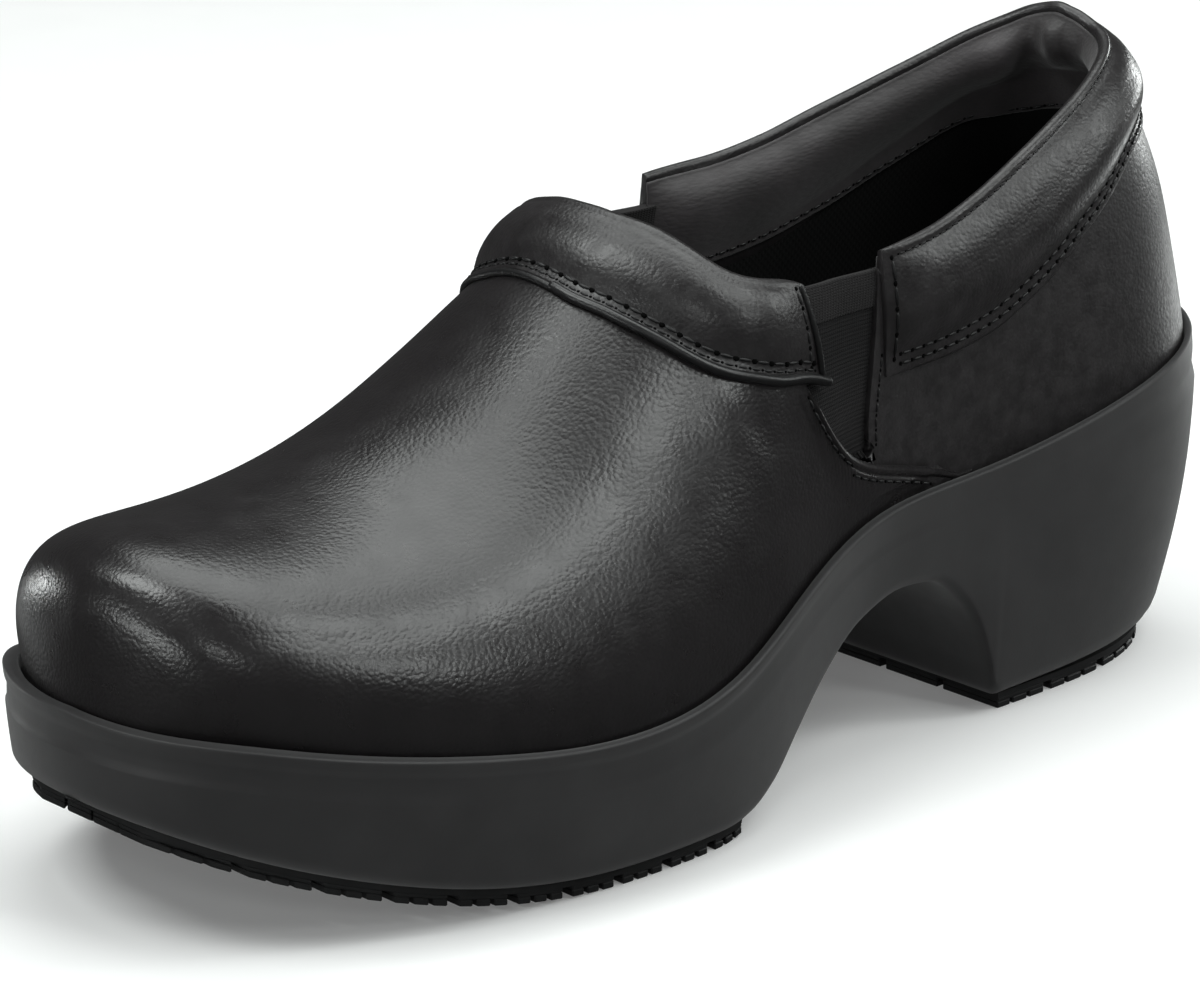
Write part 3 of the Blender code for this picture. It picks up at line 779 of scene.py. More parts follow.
@dataclass(frozen=True)
class LeatherFinish(Finish):
    """Full-grain leather: pebbles parted by fine creases, with pores and a slow swell.

    The real pebbles are finer than the ones drawn, which have to show in the render.
    drift, pore and swell are how often the other patterns repeat in one pebble, and the
    shares say how high each stands in the relief.
    """

    pebble: float = 0.75 * MM
    depth: float = 0.045 * MM
    stretch: Triple = (1.0, 0.8, 1.0)
    drift: float = 0.6
    drift_by: float = 0.2 * MM
    pore: float = 1.5
    swell: float = 0.22
    dome_share: float = -0.75
    pore_share: float = 0.55
    swell_share: float = 0.25

    def relief(self, tree: NodeTree,
               place: NodeSocket) -> tuple[NodeSocket, float]:
        """Pebbles with creases between them, pores, and a slow swell."""
        turned = add_node(tree, "Mapping", {"Vector": place, "Scale": self.stretch}).outputs[0]
        drift = add_node(tree, "TexNoise", {"Vector": turned, "Scale": self.drift / self.pebble,
                                            "Detail": 2.0}).outputs["Color"]
        pulled = add_node(tree, "MixRGB", {"Fac": self.drift_by, "Color1": turned,
                                           "Color2": drift},
                          blend_type="ADD").outputs["Color"]
        cells = add_node(tree, "TexVoronoi", {"Vector": pulled, "Scale": 1 / self.pebble,
                                              "Randomness": 1.0},
                         feature="F1").outputs["Distance"]
        pores = add_node(tree, "TexNoise", {"Vector": turned, "Scale": self.pore / self.pebble,
                                            "Detail": 2.0, "Roughness": 0.5}).outputs["Fac"]
        swell = add_node(tree, "TexNoise", {"Vector": place, "Scale": self.swell / self.pebble,
                                            "Detail": 2.0}).outputs["Fac"]
        dome = add_node(tree, "Math", {0: cells, 1: self.dome_share},
                        operation="MULTIPLY").outputs[0]
        with_pores = add_node(tree, "Math", {0: pores, 1: self.pore_share, 2: dome},
                              operation="MULTIPLY_ADD").outputs[0]
        whole = add_node(tree, "Math", {0: swell, 1: self.swell_share, 2: with_pores},
                         operation="MULTIPLY_ADD").outputs[0]
        return whole, self.depth


@dataclass(frozen=True)
class MouldedFinish(Finish):
    """Moulded plastic or rubber with a fine spark texture."""

    grit: float = 0.5 * MM
    depth: float = 0.02 * MM

    def relief(self, tree: NodeTree,
               place: NodeSocket) -> tuple[NodeSocket, float]:
        """Fine even grit."""
        grit = add_node(tree, "TexNoise", {"Vector": place, "Scale": 1 / self.grit,
                                           "Detail": 2.0}).outputs["Fac"]
        return grit, self.depth


@dataclass(frozen=True)
class WovenFinish(Finish):
    """Cloth drawn in the piece's own UV map, whose unit is a millimetre, as is thread's.

    turn is how far the threads are turned, in radians.
    """

    thread: float = 0.8
    depth: float = 0.10 * MM
    turn: float = 0.0
    waves_to_threads: float = 0.314

    def relief(self, tree: NodeTree,
               place: NodeSocket) -> tuple[NodeSocket, float]:
        """Two sets of threads, crossed by waves."""
        uv = add_node(tree, "UVMap", uv_map="UVMap").outputs["UV"]
        laid = add_node(tree, "Mapping",
                        {"Vector": uv, "Rotation": (0.0, 0.0, self.turn)}).outputs[0]
        scale = self.waves_to_threads / self.thread
        waves = []
        for across in ("X", "Y"):
            wave = add_node(tree, "TexWave", {"Vector": laid, "Scale": scale,
                                              "Distortion": 0.6, "Detail": 1.0},
                            wave_type="BANDS", bands_direction=across)
            waves.append(wave.outputs["Fac"])
        weave = add_node(tree, "Math", {0: waves[0], 1: waves[1]}, operation="MAXIMUM").outputs[0]
        return weave, self.depth


# Full-grain leather, waxed and polished: long sheens that run soft over the toe and the
# vamp, broken up by the pebbled grain.
VAMP_LEATHER = LeatherFinish("full_grain_leather_polished", "#1f1d1e", "#1a1819", 0.31,
                             spread=0.05, coat=0.24, coat_roughness=0.21, depth=0.060 * MM)
# The same leather with less polish: a dull, mottled black with hardly a highlight.
QUARTER_LEATHER = LeatherFinish("full_grain_leather_quarter", "#282627", "#1e1c1d", 0.42,
                                spread=0.09, coat=0.10, coat_roughness=0.34, blotch=3.5 * MM,
                                depth=0.055 * MM)
# The same leather drawn over foam: the stretched grain gives broad sheens on the rolls.
PADDED_LEATHER = LeatherFinish("full_grain_leather_padded", "#252324", "#1b191a", 0.38,
                               spread=0.08, coat=0.16, coat_roughness=0.28, blotch=8 * MM,
                               depth=0.065 * MM)
# Glazed lining leather: matt and greyer than the outside, with a faint bloom at a slant.
LINING_LEATHER = LeatherFinish("lining_leather_glazed", "#3e3a3c", "#2e2b2c", 0.55,
                               spread=0.08, sheen=0.25, depth=0.07 * MM, pebble=0.8 * MM,
                               stretch=(1.0, 0.35, 1.2))
# Cut edge, rolled and painted: a thin smooth cord that catches one fine line of light.
EDGE_LEATHER = LeatherFinish("leather_edge_paint", "#141415", "#0e0e0f", 0.38,
                             coat=0.15, depth=0.03 * MM, pebble=0.6 * MM)
# Knitted polyester spacer: a deep dull black with a faint slanting mesh.
TEXTILE = WovenFinish("spacer_knit_polyester", "#0c0c0c", "#080808", 0.90, specular=0.15,
                      thread=1.1, depth=0.09 * MM, turn=0.785, sheen=0.04)
# Woven rubber elastic: fine level ribs in a matt black.
ELASTIC = WovenFinish("ribbed_elastic_woven", "#171516", "#0f0e0f", 0.80, specular=0.25,
                      thread=0.45, depth=0.05 * MM, sheen=0.02)
# Woven grosgrain: a slightly lighter, coarser band along the elastic's top.
BINDING = WovenFinish("grosgrain_binding_woven", "#1a1819", "#121011", 0.75, specular=0.30,
                      thread=0.55, depth=0.10 * MM, sheen=0.04)
# Bonded polyester thread: short stitches with a soft shine on each.
THREAD = Finish("bonded_polyester_thread", "#161617", "#101011", 0.5)
# Painted shade inside a needle hole: a black point, flush with the leather, that takes no light.
HOLE_SHADE = Finish("needle_hole_shadow", "#030303", "#020202", 0.95, specular=0.1)
# Moulded polyurethane: an even charcoal with a satin fall from light to dark and no glint.
FOAM_SOLE = MouldedFinish("moulded_polyurethane", "#272627", "#222122", 0.55, spread=0.05,
                          specular=0.42, sheen=0.15, grit=0.45 * MM, depth=0.012 * MM)
# Moulded nitrile rubber: darker and duller than the unit above it.
TREAD_RUBBER = MouldedFinish("nitrile_rubber_moulded", "#19191a", "#141415", 0.66,
                             specular=0.4, grit=0.6 * MM, depth=0.02 * MM)
# Matt studio paper, a little lit from itself: white under the shoe's soft shadow.
FLOOR = Finish("matte_studio_paper", "#f6f6f6", "#f4f4f4", 0.9, spread=0.02, specular=0.1,
               glow=0.12)


class Workshop:
    """Makes pieces: their meshes, finishes and places in the frame."""

    def __init__(self) -> None:
        """Start with no materials."""
        self.made: dict[str, Material] = {}
        self.collection = bpy.data.collections.new("clog")
        bpy.context.scene.collection.children.link(self.collection)

    def material(self, finish: Finish) -> Material:
        """The material of a finish, built once."""
        if finish.name not in self.made:
            self.made[finish.name] = finish.build()
        return self.made[finish.name]

    def piece(self, name: str, mesh: Mesh, finish: Finish, slot: Slot,
              stands_for: Sequence[str] = ()) -> Object:
        """Turn a mesh into a piece of the shoe.

        Args:
            name: the piece's name.
            mesh: its mesh, in place.
            finish: what it is made of.
            slot: the record's slot; not used.
            stands_for: the solids that it replaces.

        Returns:
            The new object.
        """
        mesh.materials.clear()
        mesh.materials.append(self.material(finish))
        mesh.shade_smooth()
        made = bpy.data.objects.new(name, mesh)
        self.collection.objects.link(made)
        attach(made, "root")
        if stands_for:
            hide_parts(*stands_for)
        LOG.info("%s: %d faces", name, len(mesh.polygons))
        return made

    @staticmethod
    def grid(name: str, points: Array, uv: Array | None = None,
             outward: Array | None = None) -> Mesh:
        """A grid whose vertices are moved to the given points.

        Args:
            name: the mesh's name.
            points: rows of points.
            uv: for each point its place on the cloth, in millimetres.
            outward: the direction in which the middle face looks.

        Returns:
            The new mesh.
        """
        rows, count = points.shape[:2]
        shape = bmesh.new()
        bmesh.ops.create_grid(shape, x_segments=count - 1, y_segments=rows - 1, size=0.5,
                              calc_uvs=False)
        mesh = bpy.data.meshes.new(name)
        shape.to_mesh(mesh)
        shape.free()
        flat = np.ascontiguousarray(points.reshape(-1, 3), dtype=np.float32)
        mesh.vertices.foreach_set("co", flat.ravel())
        if uv is not None:
            corner = np.empty(len(mesh.loops), dtype=np.int32)
            mesh.loops.foreach_get("vertex_index", corner)
            layer = mesh.uv_layers.new(name="UVMap")
            layer.uv.foreach_set("vector", uv.reshape(-1, 2)[corner].astype(np.float32).ravel())
        if outward is not None:
            i, j = rows // 2, count // 2
            across = points[i, j + 1] - points[i, j]
            along = points[i + 1, j] - points[i, j]
            if np.dot(np.cross(across, along), outward) < 0:
                mesh.flip_normals()
        mesh.update()
        return mesh

    @staticmethod
    def weld(mesh: Mesh, distance: float = 0.02 * MM, turn_out: bool = False,
             fill: bool = False) -> Mesh:
        """Merge a mesh's doubled vertices.

        Args:
            mesh: the mesh to change.
            distance: how near two vertices are merged.
            turn_out: make a closed mesh's faces look outwards.
            fill: close what is left open.

        Returns:
            The same mesh.
        """
        shape = bmesh.new()
        shape.from_mesh(mesh)
        bmesh.ops.remove_doubles(shape, verts=shape.verts, dist=distance)
        bmesh.ops.dissolve_degenerate(shape, edges=shape.edges, dist=0.1 * distance)
        if fill:
            bmesh.ops.holes_fill(shape, edges=[e for e in shape.edges if e.is_boundary])
        if turn_out:
            bmesh.ops.recalc_face_normals(shape, faces=shape.faces)
        shape.to_mesh(mesh)
        shape.free()
        return mesh

    @staticmethod
    def join(name: str, meshes: Sequence[Mesh]) -> Mesh:
        """Several meshes as one."""
        shape = bmesh.new()
        for mesh in meshes:
            shape.from_mesh(mesh)
        joined = bpy.data.meshes.new(name)
        shape.to_mesh(joined)
        shape.free()
        return joined

    def sheet(self, name: str, halves: Sequence[Array], look: Pair,
              merge: float, plane: slice = slice(1, 3)) -> Mesh:
        """Lateral and medial half of a sheet, joined along the centre line.

        Args:
            name: the mesh's name.
            halves: rows of points of each half, in the order of SIDES.
            look: how far a half looks towards its own side, and upwards.
            merge: how near two vertices are merged.
            plane: the two axes in which its cloth lies.

        Returns:
            The new mesh.
        """
        meshes = [self.grid(name + "_half", half, half[..., plane] / MM,
                            np.array((look[0] * side, 0.0, look[1])))
                  for half, side in zip(halves, SIDES)]
        return self.weld(self.join(name, meshes), merge)

    @staticmethod
    def rounded(made: Object, width: float, angle: float, segments: int = 2) -> None:
        """Round a piece's edges.

        Args:
            made: the piece.
            width: of the rounding.
            angle: turn between two faces past which their edge is rounded, in radians.
            segments: of the rounding.
        """
        rounding = made.modifiers.new("rounding", "BEVEL")
        rounding.width = width
        rounding.segments = segments
        rounding.limit_method = "ANGLE"
        rounding.angle_limit = angle

    def thicken(self, made: Object, thickness: float, edge: float, segments: int = 2) -> None:
        """Give a sheet its thickness inwards, and round its cut edges.

        Args:
            made: the sheet.
            thickness: of the leather or cloth.
            edge: radius of the rounding.
            segments: of the rounding.
        """
        wall = made.modifiers.new("wall", "SOLIDIFY")
        wall.thickness = thickness
        wall.offset = -1.0
        if edge > 0:
            self.rounded(made, edge, 1.0, segments)

    def cord(self, path: Array, normals: Array, radius: Array, sides: int = 10) -> Mesh:
        """A closed cord along a path.

        Args:
            path: points of its middle line.
            normals: the surface's normal at each point.
            radius: along the path.
            sides: faces round it.

        Returns:
            The new mesh.
        """
        tangent = np.gradient(path, axis=0)
        tangent /= np.linalg.norm(tangent, axis=1)[:, None]
        across = np.cross(tangent, normals)
        across /= np.linalg.norm(across, axis=1)[:, None]
        above = np.cross(across, tangent)
        angle = np.linspace(0, 2 * np.pi, sides + 1)
        around = (across[:, None] * np.cos(angle)[:, None] + above[:, None] * np.sin(angle)[:, None])
        rings = path[:, None] + around * radius[:, None, None]
        return self.weld(self.grid("cord", rings), turn_out=True, fill=True)


@dataclass
class Seam:
    """A line of stitches: thread lying on the surface between needle holes, whose shade is painted
    as black points.

    thread and hole are half widths, share is how much of the pitch the thread covers,
    hole_long and hole_deep are the hole's other half sizes in half widths, and rise is
    how far the thread's middle stands over the surface, in half widths of the thread.
    """

    pitch: float = 2.8 * MM
    thread: float = 0.26 * MM
    hole: float = 0.34 * MM
    share: float = 0.66
    hole_long: float = 1.15
    hole_deep: float = 0.5
    rise: float = 0.15

    def spaced(self, path: Array) -> Array:
        """Places of the needle holes along a path, counted in the path's rows."""
        walked = run_along(path)
        count = max(2, int(walked[-1] / self.pitch))
        return np.interp(np.linspace(0, walked[-1], count + 1), walked, np.arange(len(path)))

    def build(self, threads: BMesh, holes: BMesh, path: Array,
              normals: Array) -> None:
        """Add the stitches of one line.

        Args:
            threads: mesh that takes the threads.
            holes: mesh that takes the black points of painted shade in the needle holes.
            path: points of the line on the surface.
            normals: the surface's normal at each point.
        """
        rows = self.spaced(path)
        index = np.arange(len(path))
        hole_size = Matrix.Diagonal((self.hole * self.hole_long, self.hole,
                                     self.hole_deep * self.hole, 1.0))

        def read(values: Array, at: float) -> Vector:
            """A row between the given rows."""
            return Vector([float(np.interp(at, index, values[:, k])) for k in range(3)])

        for i, row in enumerate(rows):
            spot = read(path, row)
            up = read(normals, row).normalized()
            ahead = read(path, min(row + 0.5, len(path) - 1)) - read(path, max(row - 0.5, 0))
            frame_at = self.frame(ahead.normalized(), up)
            # A black point flush with the leather paints the shade inside the needle hole.
            bmesh.ops.create_icosphere(
                holes, subdivisions=1, radius=1.0,
                matrix=Matrix.Translation(spot) @ frame_at @ hole_size)
            if i == 0:
                continue
            middle = 0.5 * (row + rows[i - 1])
            start, end = read(path, rows[i - 1]), spot
            up = read(normals, middle).normalized()
            length = (end - start).length * self.share
            size = Matrix.Diagonal((0.5 * length, self.thread, self.thread, 1.0))
            place = Matrix.Translation(read(path, middle) + up * self.rise * self.thread)
            bmesh.ops.create_icosphere(
                threads, subdivisions=2, radius=1.0,
                matrix=place @ self.frame((end - start).normalized(), up) @ size)

    @staticmethod
    def frame(along: Vector, up: Vector) -> Matrix:
        """Rotation whose X runs along the stitch and whose Z is the surface's normal."""
        across = up.cross(along).normalized()
        top = along.cross(across).normalized()
        return Matrix((along, across, top)).transposed().to_4x4()


@dataclass
class Upper:
    """The leather: vamp, quarters, elastics and linings.

    The vamp's columns end on the centre line as far as the throat, then under the band
    up to throat_end, then on the free edge from edge_start. free_from and free_over say
    where that edge comes out from under the band. A ripple beside an edge is read
    against the distance from it.
    """

    last: Last
    shop: Workshop
    thick: float = 1.2 * MM
    cut_edge: float = 0.35 * MM
    merge: float = 0.05 * MM
    tuck: float = 3.0 * MM
    vamp_rows: int = 70
    row_crowding: float = 1.25
    toe_columns: int = 76
    toe_crowding: float = 1.75
    throat_columns: int = 31
    throat_end: float = 0.90
    throat_foot: float = 0.522
    edge_columns: int = 112
    edge_start: float = 0.34
    free_from: float = 0.355
    free_over: float = 0.08
    least_girth: float = 0.004
    vamp_lift: Ripple = Ripple(0.0, 7.0 * MM, 1.0 * MM)
    lift_foot: float = 3.0 * MM
    edge_ridge: Ripple = Ripple(1.05 * MM, 0.60 * MM, 0.20 * MM)
    edge_groove: Ripple = Ripple(2.15 * MM, 0.42 * MM, -0.38 * MM)
    wrinkle_band: Ripple = Ripple(4.2 * MM, 2.3 * MM, 0.10 * MM)
    wrinkle_level: Ripple = Ripple(67 * MM, 8 * MM)
    wrinkle_pitch: float = 1.55 * MM
    wrinkle_drift: Pair = (1.7, 2.9 * MM)
    quarter_rows: int = 64
    quarter_front: Pair = (0.578, 0.604)
    gore_columns: int = 26
    collar_columns: int = 96
    under_collar: float = 0.35
    fold: Ripple = Ripple(0.7 * MM, 0.7 * MM, 0.35 * MM)
    fold_groove: Ripple = Ripple(1.8 * MM, 0.45 * MM, -0.25 * MM)
    gore_tuck: Pair = (0.010, 0.008)
    gore_size: Pair = (18 * MM, 36 * MM)
    gore_extent: Pair = (-0.05, 0.94)
    gore_rows: int = 300
    gore_depth: float = -1.1 * MM
    rib_pitch: float = 0.80 * MM
    rib_depth: float = 0.14 * MM
    binding_extent: Pair = (0.775, 1.0)
    binding_rows: int = 24
    binding_depth: float = -0.75 * MM
    binding_bulge: float = 0.35 * MM
    binding_span: Pair = (0.76, 0.3)
    lining_gap: float = 0.35 * MM
    lining_rows: int = 34
    lining_columns: int = 150
    lining_seam: float = 0.08
    lining_thick: float = 0.5 * MM
    footbed_gap: float = 2.9 * MM
    footbed_rest: float = 0.5 * MM
    footbed_thick: float = 3.0 * MM
    footbed_crown: float = 1.4 * MM
    footbed_dish: float = 1.5 * MM
    footbed_fade: float = 0.1

    def foot_row(self, side: int, foot: Array) -> Array:
        """The leather's lowest row, tucked behind the sole's lip."""
        height = self.last.rim_height(foot) - self.tuck
        return self.last.outline(np.full_like(foot, side), foot, self.last.inset, height)

    def vamp_columns(self, side: int) -> tuple[Array, Array, Array, Array]:
        """Columns of the vamp.

        Args:
            side: +1 lateral, -1 medial.

        Returns:
            For each column its station at the foot, station and girth at the top, and
            how much of its top is a free edge.
        """
        last = self.last
        front = float(last.throat_place(0.0, 0.5)[0])
        toe = front * np.linspace(0, 1, self.toe_columns) ** self.toe_crowding
        parts = [(toe, toe, np.ones_like(toe), np.zeros_like(toe))]
        share = np.linspace(0, self.throat_end, self.throat_columns)[1:]
        station, girth = last.throat_place(share, 0.5)
        foot = front + (self.throat_foot - front) * share / self.throat_end
        parts.append((foot, station, girth, np.zeros_like(share)))
        share = np.linspace(self.edge_start, 1, self.edge_columns)
        station, girth = last.vamp_edge(side, share)
        free = np.clip((share - self.free_from) / self.free_over, 0, 1)
        parts.append((last.edge_foot(share), station, np.maximum(girth, self.least_girth), free))
        return tuple(np.concatenate(column) for column in zip(*parts))

    def make_vamp(self) -> None:
        """The one-piece vamp, from the toe back over the foot of the quarters."""
        halves = []
        for side in SIDES:
            foot, top_station, top_girth, free = self.vamp_columns(side)
            rows = np.linspace(0, 1, self.vamp_rows)[:, None]
            share = 1 - (1 - rows) ** self.row_crowding
            station = foot + (top_station - foot) * share
            girth = top_girth * share
            flat = self.last.skin(side, station, girth)
            walked = run_along(flat)
            from_edge = walked[-1] - walked
            rise = np.clip(walked / self.lift_foot, 0, 1) ** 2
            out = self.vamp_lift.at(from_edge) * free * rise
            out = out + self.creases(side, flat, from_edge, free)
            points = self.last.skin(side, station, girth, out)
            halves.append(np.concatenate([self.foot_row(side, foot)[None], points]))
        mesh = self.shop.sheet("vamp", halves, (1.0, 0.3), self.merge, slice(0, 2))
        made = self.shop.piece("vamp", mesh, VAMP_LEATHER, Slot.LEATHER, ["upper"])
        self.shop.thicken(made, self.thick, self.cut_edge)

    def creases(self, side: int, points: Array, from_edge: Array, free: Array) -> Array:
        """Depth of the leather's soft creases at points of the vamp.

        Args:
            side: +1 lateral, -1 medial.
            points: places on the vamp.
            from_edge: distance from the vamp's top edge.
            free: how much of that edge is free.

        Returns:
            Distance outwards, mostly below zero.
        """
        total = (self.edge_ridge.at(from_edge) + self.edge_groove.at(from_edge)) * free
        run = run_along(points[-1])
        drift, drift_run = self.wrinkle_drift
        wrinkles = np.sin(2 * np.pi * run / self.wrinkle_pitch + drift * np.sin(run / drift_run))
        near = self.wrinkle_level.at(points[-1, :, 2]) * (free > 0.3)
        total += wrinkles * near * self.wrinkle_band.at(from_edge)
        for crease in CREASES:
            total += crease.depth_at(side, points)
        return total

    def quarter_columns(self, side: int) -> tuple[Array, Array, Array]:
        """Columns of the quarter.

        Args:
            side: +1 lateral, -1 medial.

        Returns:
            For each column its station at the foot, and station and girth at the top.
        """
        last = self.last
        start, end = self.quarter_front
        share = np.linspace(0, 1, self.gore_columns)
        station, girth = last.gore_place(side, False, share)
        parts = [(start + (end - start) * share, station, girth)]
        around = np.linspace(end, 1, self.collar_columns)[1:]
        station, girth = last.collar_place(side, around, self.under_collar)
        parts.append((around, station, girth))
        return tuple(np.concatenate(column) for column in zip(*parts))

    def make_quarters(self) -> None:
        """Both quarters, joined at the back."""
        halves = []
        for side in SIDES:
            foot, top_station, top_girth = self.quarter_columns(side)
            share = np.linspace(0, 1, self.quarter_rows)[:, None]
            station = foot + (top_station - foot) * share
            girth = top_girth * share
            flat = self.last.skin(side, station, girth)
            from_front = run_along(flat, axis=1)
            out = self.fold.at(from_front) + self.fold_groove.at(from_front)
            out = out * np.clip(share * 4 - 0.2, 0, 1)
            for crease in CREASES:
                out = out + crease.depth_at(side, flat)
            points = self.last.skin(side, station, girth, out)
            halves.append(np.concatenate([self.foot_row(side, foot)[None], points]))
        mesh = self.shop.sheet("quarters", halves, (1.0, 0.0), self.merge)
        made = self.shop.piece("quarters", mesh, QUARTER_LEATHER, Slot.LEATHER, ["upper"])
        self.shop.thicken(made, self.thick, self.cut_edge)

    def gore_patch(self, side: int, up: Array, across: Array, out: Array) -> Array:
        """Points of the elastic, tucked in front under the vamp and behind under the quarter.

        Args:
            side: +1 or -1.
            up: share of its height.
            across: 0 at its front edge, 1 at its back edge.
            out: distance out from the last.

        Returns:
            Rows of points.
        """
        front_station, front_girth = self.last.gore_place(side, True, up)
        cover = np.interp(up, *columns(GORE_COVER))
        back_station, back_girth = self.last.gore_place(side, False, up)
        front_station = np.minimum(front_station, cover) - self.gore_tuck[0]
        back_station = back_station + self.gore_tuck[1]
        station = front_station[:, None] + (back_station - front_station)[:, None] * across
        girth = front_girth[:, None] + (back_girth - front_girth)[:, None] * across
        return self.last.skin(side, station, girth, out)

    def make_gore(self, side: Side) -> None:
        """Ribbed elastic with its woven binding along the top.

        Args:
            side: the shoe's side.
        """
        name = side.name.lower()
        wide, tall = self.gore_size
        across = np.linspace(0, 1, self.gore_columns)
        low = np.linspace(*self.gore_extent, self.gore_rows)
        rib = self.rib_depth * np.abs(np.sin(np.pi * low * tall / self.rib_pitch))
        high = np.linspace(*self.binding_extent, self.binding_rows)
        start, span = self.binding_span
        bulge = self.binding_bulge * np.sin(np.pi * np.clip((high - start) / span, 0, 1))
        layers = (("elastic_", ELASTIC, low, self.gore_depth + rib, 1.0 * MM, 0.0),
                  ("binding_", BINDING, high, self.binding_depth + bulge, 2.0 * MM, 0.6 * MM))
        for layer, finish, up, out, thickness, edge in layers:
            points = self.gore_patch(side.value, up, across, out[:, None])
            uv = np.stack(np.broadcast_arrays(across[None] * wide, up[:, None] * tall), -1) / MM
            mesh = self.shop.grid(layer + name, points, uv, np.array((side.value, 0.0, 0.0)))
            made = self.shop.piece(layer + name, mesh, finish, Slot.ELASTIC, ["gore_" + name])
            self.shop.thicken(made, thickness, edge, 3)

    def make_linings(self) -> None:
        """Textile lining inside the vamp and, up to the collar's facing, inside the quarters."""
        last = self.last
        depth = -(self.thick + self.lining_gap)
        share = np.linspace(0, 1, self.lining_rows)[:, None]
        level = np.array((1.0, 1.0, 0.0))
        for name in ("vamp", "quarters"):
            halves = []
            for side in SIDES:
                if name == "vamp":
                    foot, top_station, top_girth = (
                        column[:self.lining_columns:2] for column in self.vamp_columns(side)[:3])
                else:
                    foot, top_station, top_girth = self.quarter_columns(side)
                    behind = top_station > self.quarter_front[1]
                    sewn = Collar.sewn_at(top_station[behind]) - self.lining_seam
                    top_girth[behind] = last.collar_place(side, top_station[behind], sewn)[1]
                station = foot + (top_station - foot) * share
                points = last.skin(side, station, top_girth * share, depth)
                low = self.foot_row(side, foot)
                low = low + (points[0] - low) * level
                halves.append(np.concatenate([low[None], points]))
            mesh = self.shop.sheet("lining_" + name, halves, (-1.0, 0.0), 0.08 * MM)
            made = self.shop.piece("lining_" + name, mesh, TEXTILE, Slot.LINING)
            self.shop.thicken(made, -self.lining_thick, 0.0)

    def make_insole(self) -> None:
        """Padded footbed covered in the lining's cloth."""
        last = self.last
        station = np.linspace(0, 1, 90)[:, None] ** 1.4
        across = np.linspace(-1, 1, 41)[None]
        inset = last.inset + self.footbed_gap
        floor = last.rim_height(station) - last.bed_depth + self.footbed_rest
        edge_l, edge_m = (last.outline(side, station[:, 0], inset, floor[:, 0])
                          for side in SIDES)
        share = 0.5 * (across + 1)
        points = edge_m[:, None] + (edge_l - edge_m)[:, None] * share[..., None]
        fade = np.minimum(1.0, np.minimum(station, 1 - station) / self.footbed_fade)
        dish = self.footbed_dish * (1 - across ** 2) * fade
        crown = self.footbed_crown * (1 - np.abs(across) ** 8) * np.minimum(1, fade * 3)
        points[..., 2] += self.footbed_thick + crown - dish
        uv = points[..., :2] / MM
        mesh = self.shop.weld(self.shop.grid("insole", points, uv, np.array((0.0, 0.0, 1.0))))
        made = self.shop.piece("footbed", mesh, TEXTILE, Slot.LINING, ["insole"])
        self.shop.thicken(made, self.footbed_thick, 0.0)


@dataclass(frozen=True)
class Crease:
    """A soft trough or ridge in the leather, along a line of points."""

    side: Side
    line: tuple[Triple, ...]
    width: float
    depth: float

    def depth_at(self, side: int, points: Array) -> Array:
        """Distance outwards that the crease moves points.

        Args:
            side: +1 or -1, the side on which the points lie.
            points: places on the leather.

        Returns:
            A distance for each point, below zero in a trough.
        """
        if side != self.side.value:
            return np.zeros(points.shape[:-1])
        nodes = np.array(self.line) * MM
        best = np.full(points.shape[:-1], 1.0)
        along = np.zeros(points.shape[:-1])
        for i in range(len(nodes) - 1):
            run = nodes[i + 1] - nodes[i]
            t = np.clip(((points - nodes[i]) @ run) / (run @ run), 0, 1)
            gap = np.linalg.norm(points - nodes[i] - t[..., None] * run, axis=-1)
            nearer = gap < best
            best = np.where(nearer, gap, best)
            along = np.where(nearer, (i + t) / (len(nodes) - 1), along)
        fade = np.sin(np.pi * np.clip(along, 0.02, 0.98)) ** 0.7
        return -self.depth * np.exp(-(best / self.width) ** 2) * fade


# Lines of the creases in the vamp and the quarters, in millimetres, then the half width
# and the depth of each. A depth below zero is a ridge.
CREASES: tuple[Crease, ...] = (
    Crease(Side.LATERAL, ((3, -126, 59.1), (12.7, -123.4, 57.9), (21, -118.6, 55.9),
                          (26.8, -112, 54.1), (31.7, -101.5, 52.2), (35.2, -89.6, 51),
                          (36.3, -79.8, 51.8)), 2.3 * MM, 0.20 * MM),
    Crease(Side.LATERAL, ((1, -125, 61.7), (10.1, -121.2, 61.6), (16.6, -116.1, 60.7),
                          (23.7, -107.3, 58.2), (29.7, -96.6, 55.2)), 3.6 * MM, -0.16 * MM),
    Crease(Side.LATERAL, ((38, -6, 66), (34, -12, 73), (29, -17, 80)), 3.2 * MM, 0.28 * MM),
    Crease(Side.LATERAL, ((37, -16, 62), (31, -25, 71), (22, -32, 78)), 5.0 * MM, 0.26 * MM),
    Crease(Side.LATERAL, ((41, -28, 52), (35, -38, 61), (25, -45, 67)), 6.0 * MM, 0.24 * MM),
    Crease(Side.LATERAL, ((31, 52, 50), (30.6, 67, 51), (30.7, 82, 54), (29, 99, 58)),
           3.4 * MM, 0.55 * MM),
    Crease(Side.LATERAL, ((33, -4, 73), (30, -9, 78), (26, -14, 82)), 1.6 * MM, 0.22 * MM),
    Crease(Side.LATERAL, ((36, -2, 66), (34, -7, 70), (31, -11, 75)), 1.3 * MM, 0.18 * MM),
    Crease(Side.LATERAL, ((30, 30, 62), (29, 45, 66), (27, 62, 72)), 5.0 * MM, 0.30 * MM),
    Crease(Side.MEDIAL, ((-38, -8, 64), (-34, -14, 72), (-28, -19, 80)), 3.4 * MM, 0.45 * MM),
    Crease(Side.MEDIAL, ((-38, -20, 60), (-32, -29, 69), (-23, -35, 77)), 4.6 * MM, 0.40 * MM),
    Crease(Side.MEDIAL, ((-34, -4, 71), (-31, -10, 77), (-27, -15, 82)), 1.6 * MM, 0.20 * MM),
)


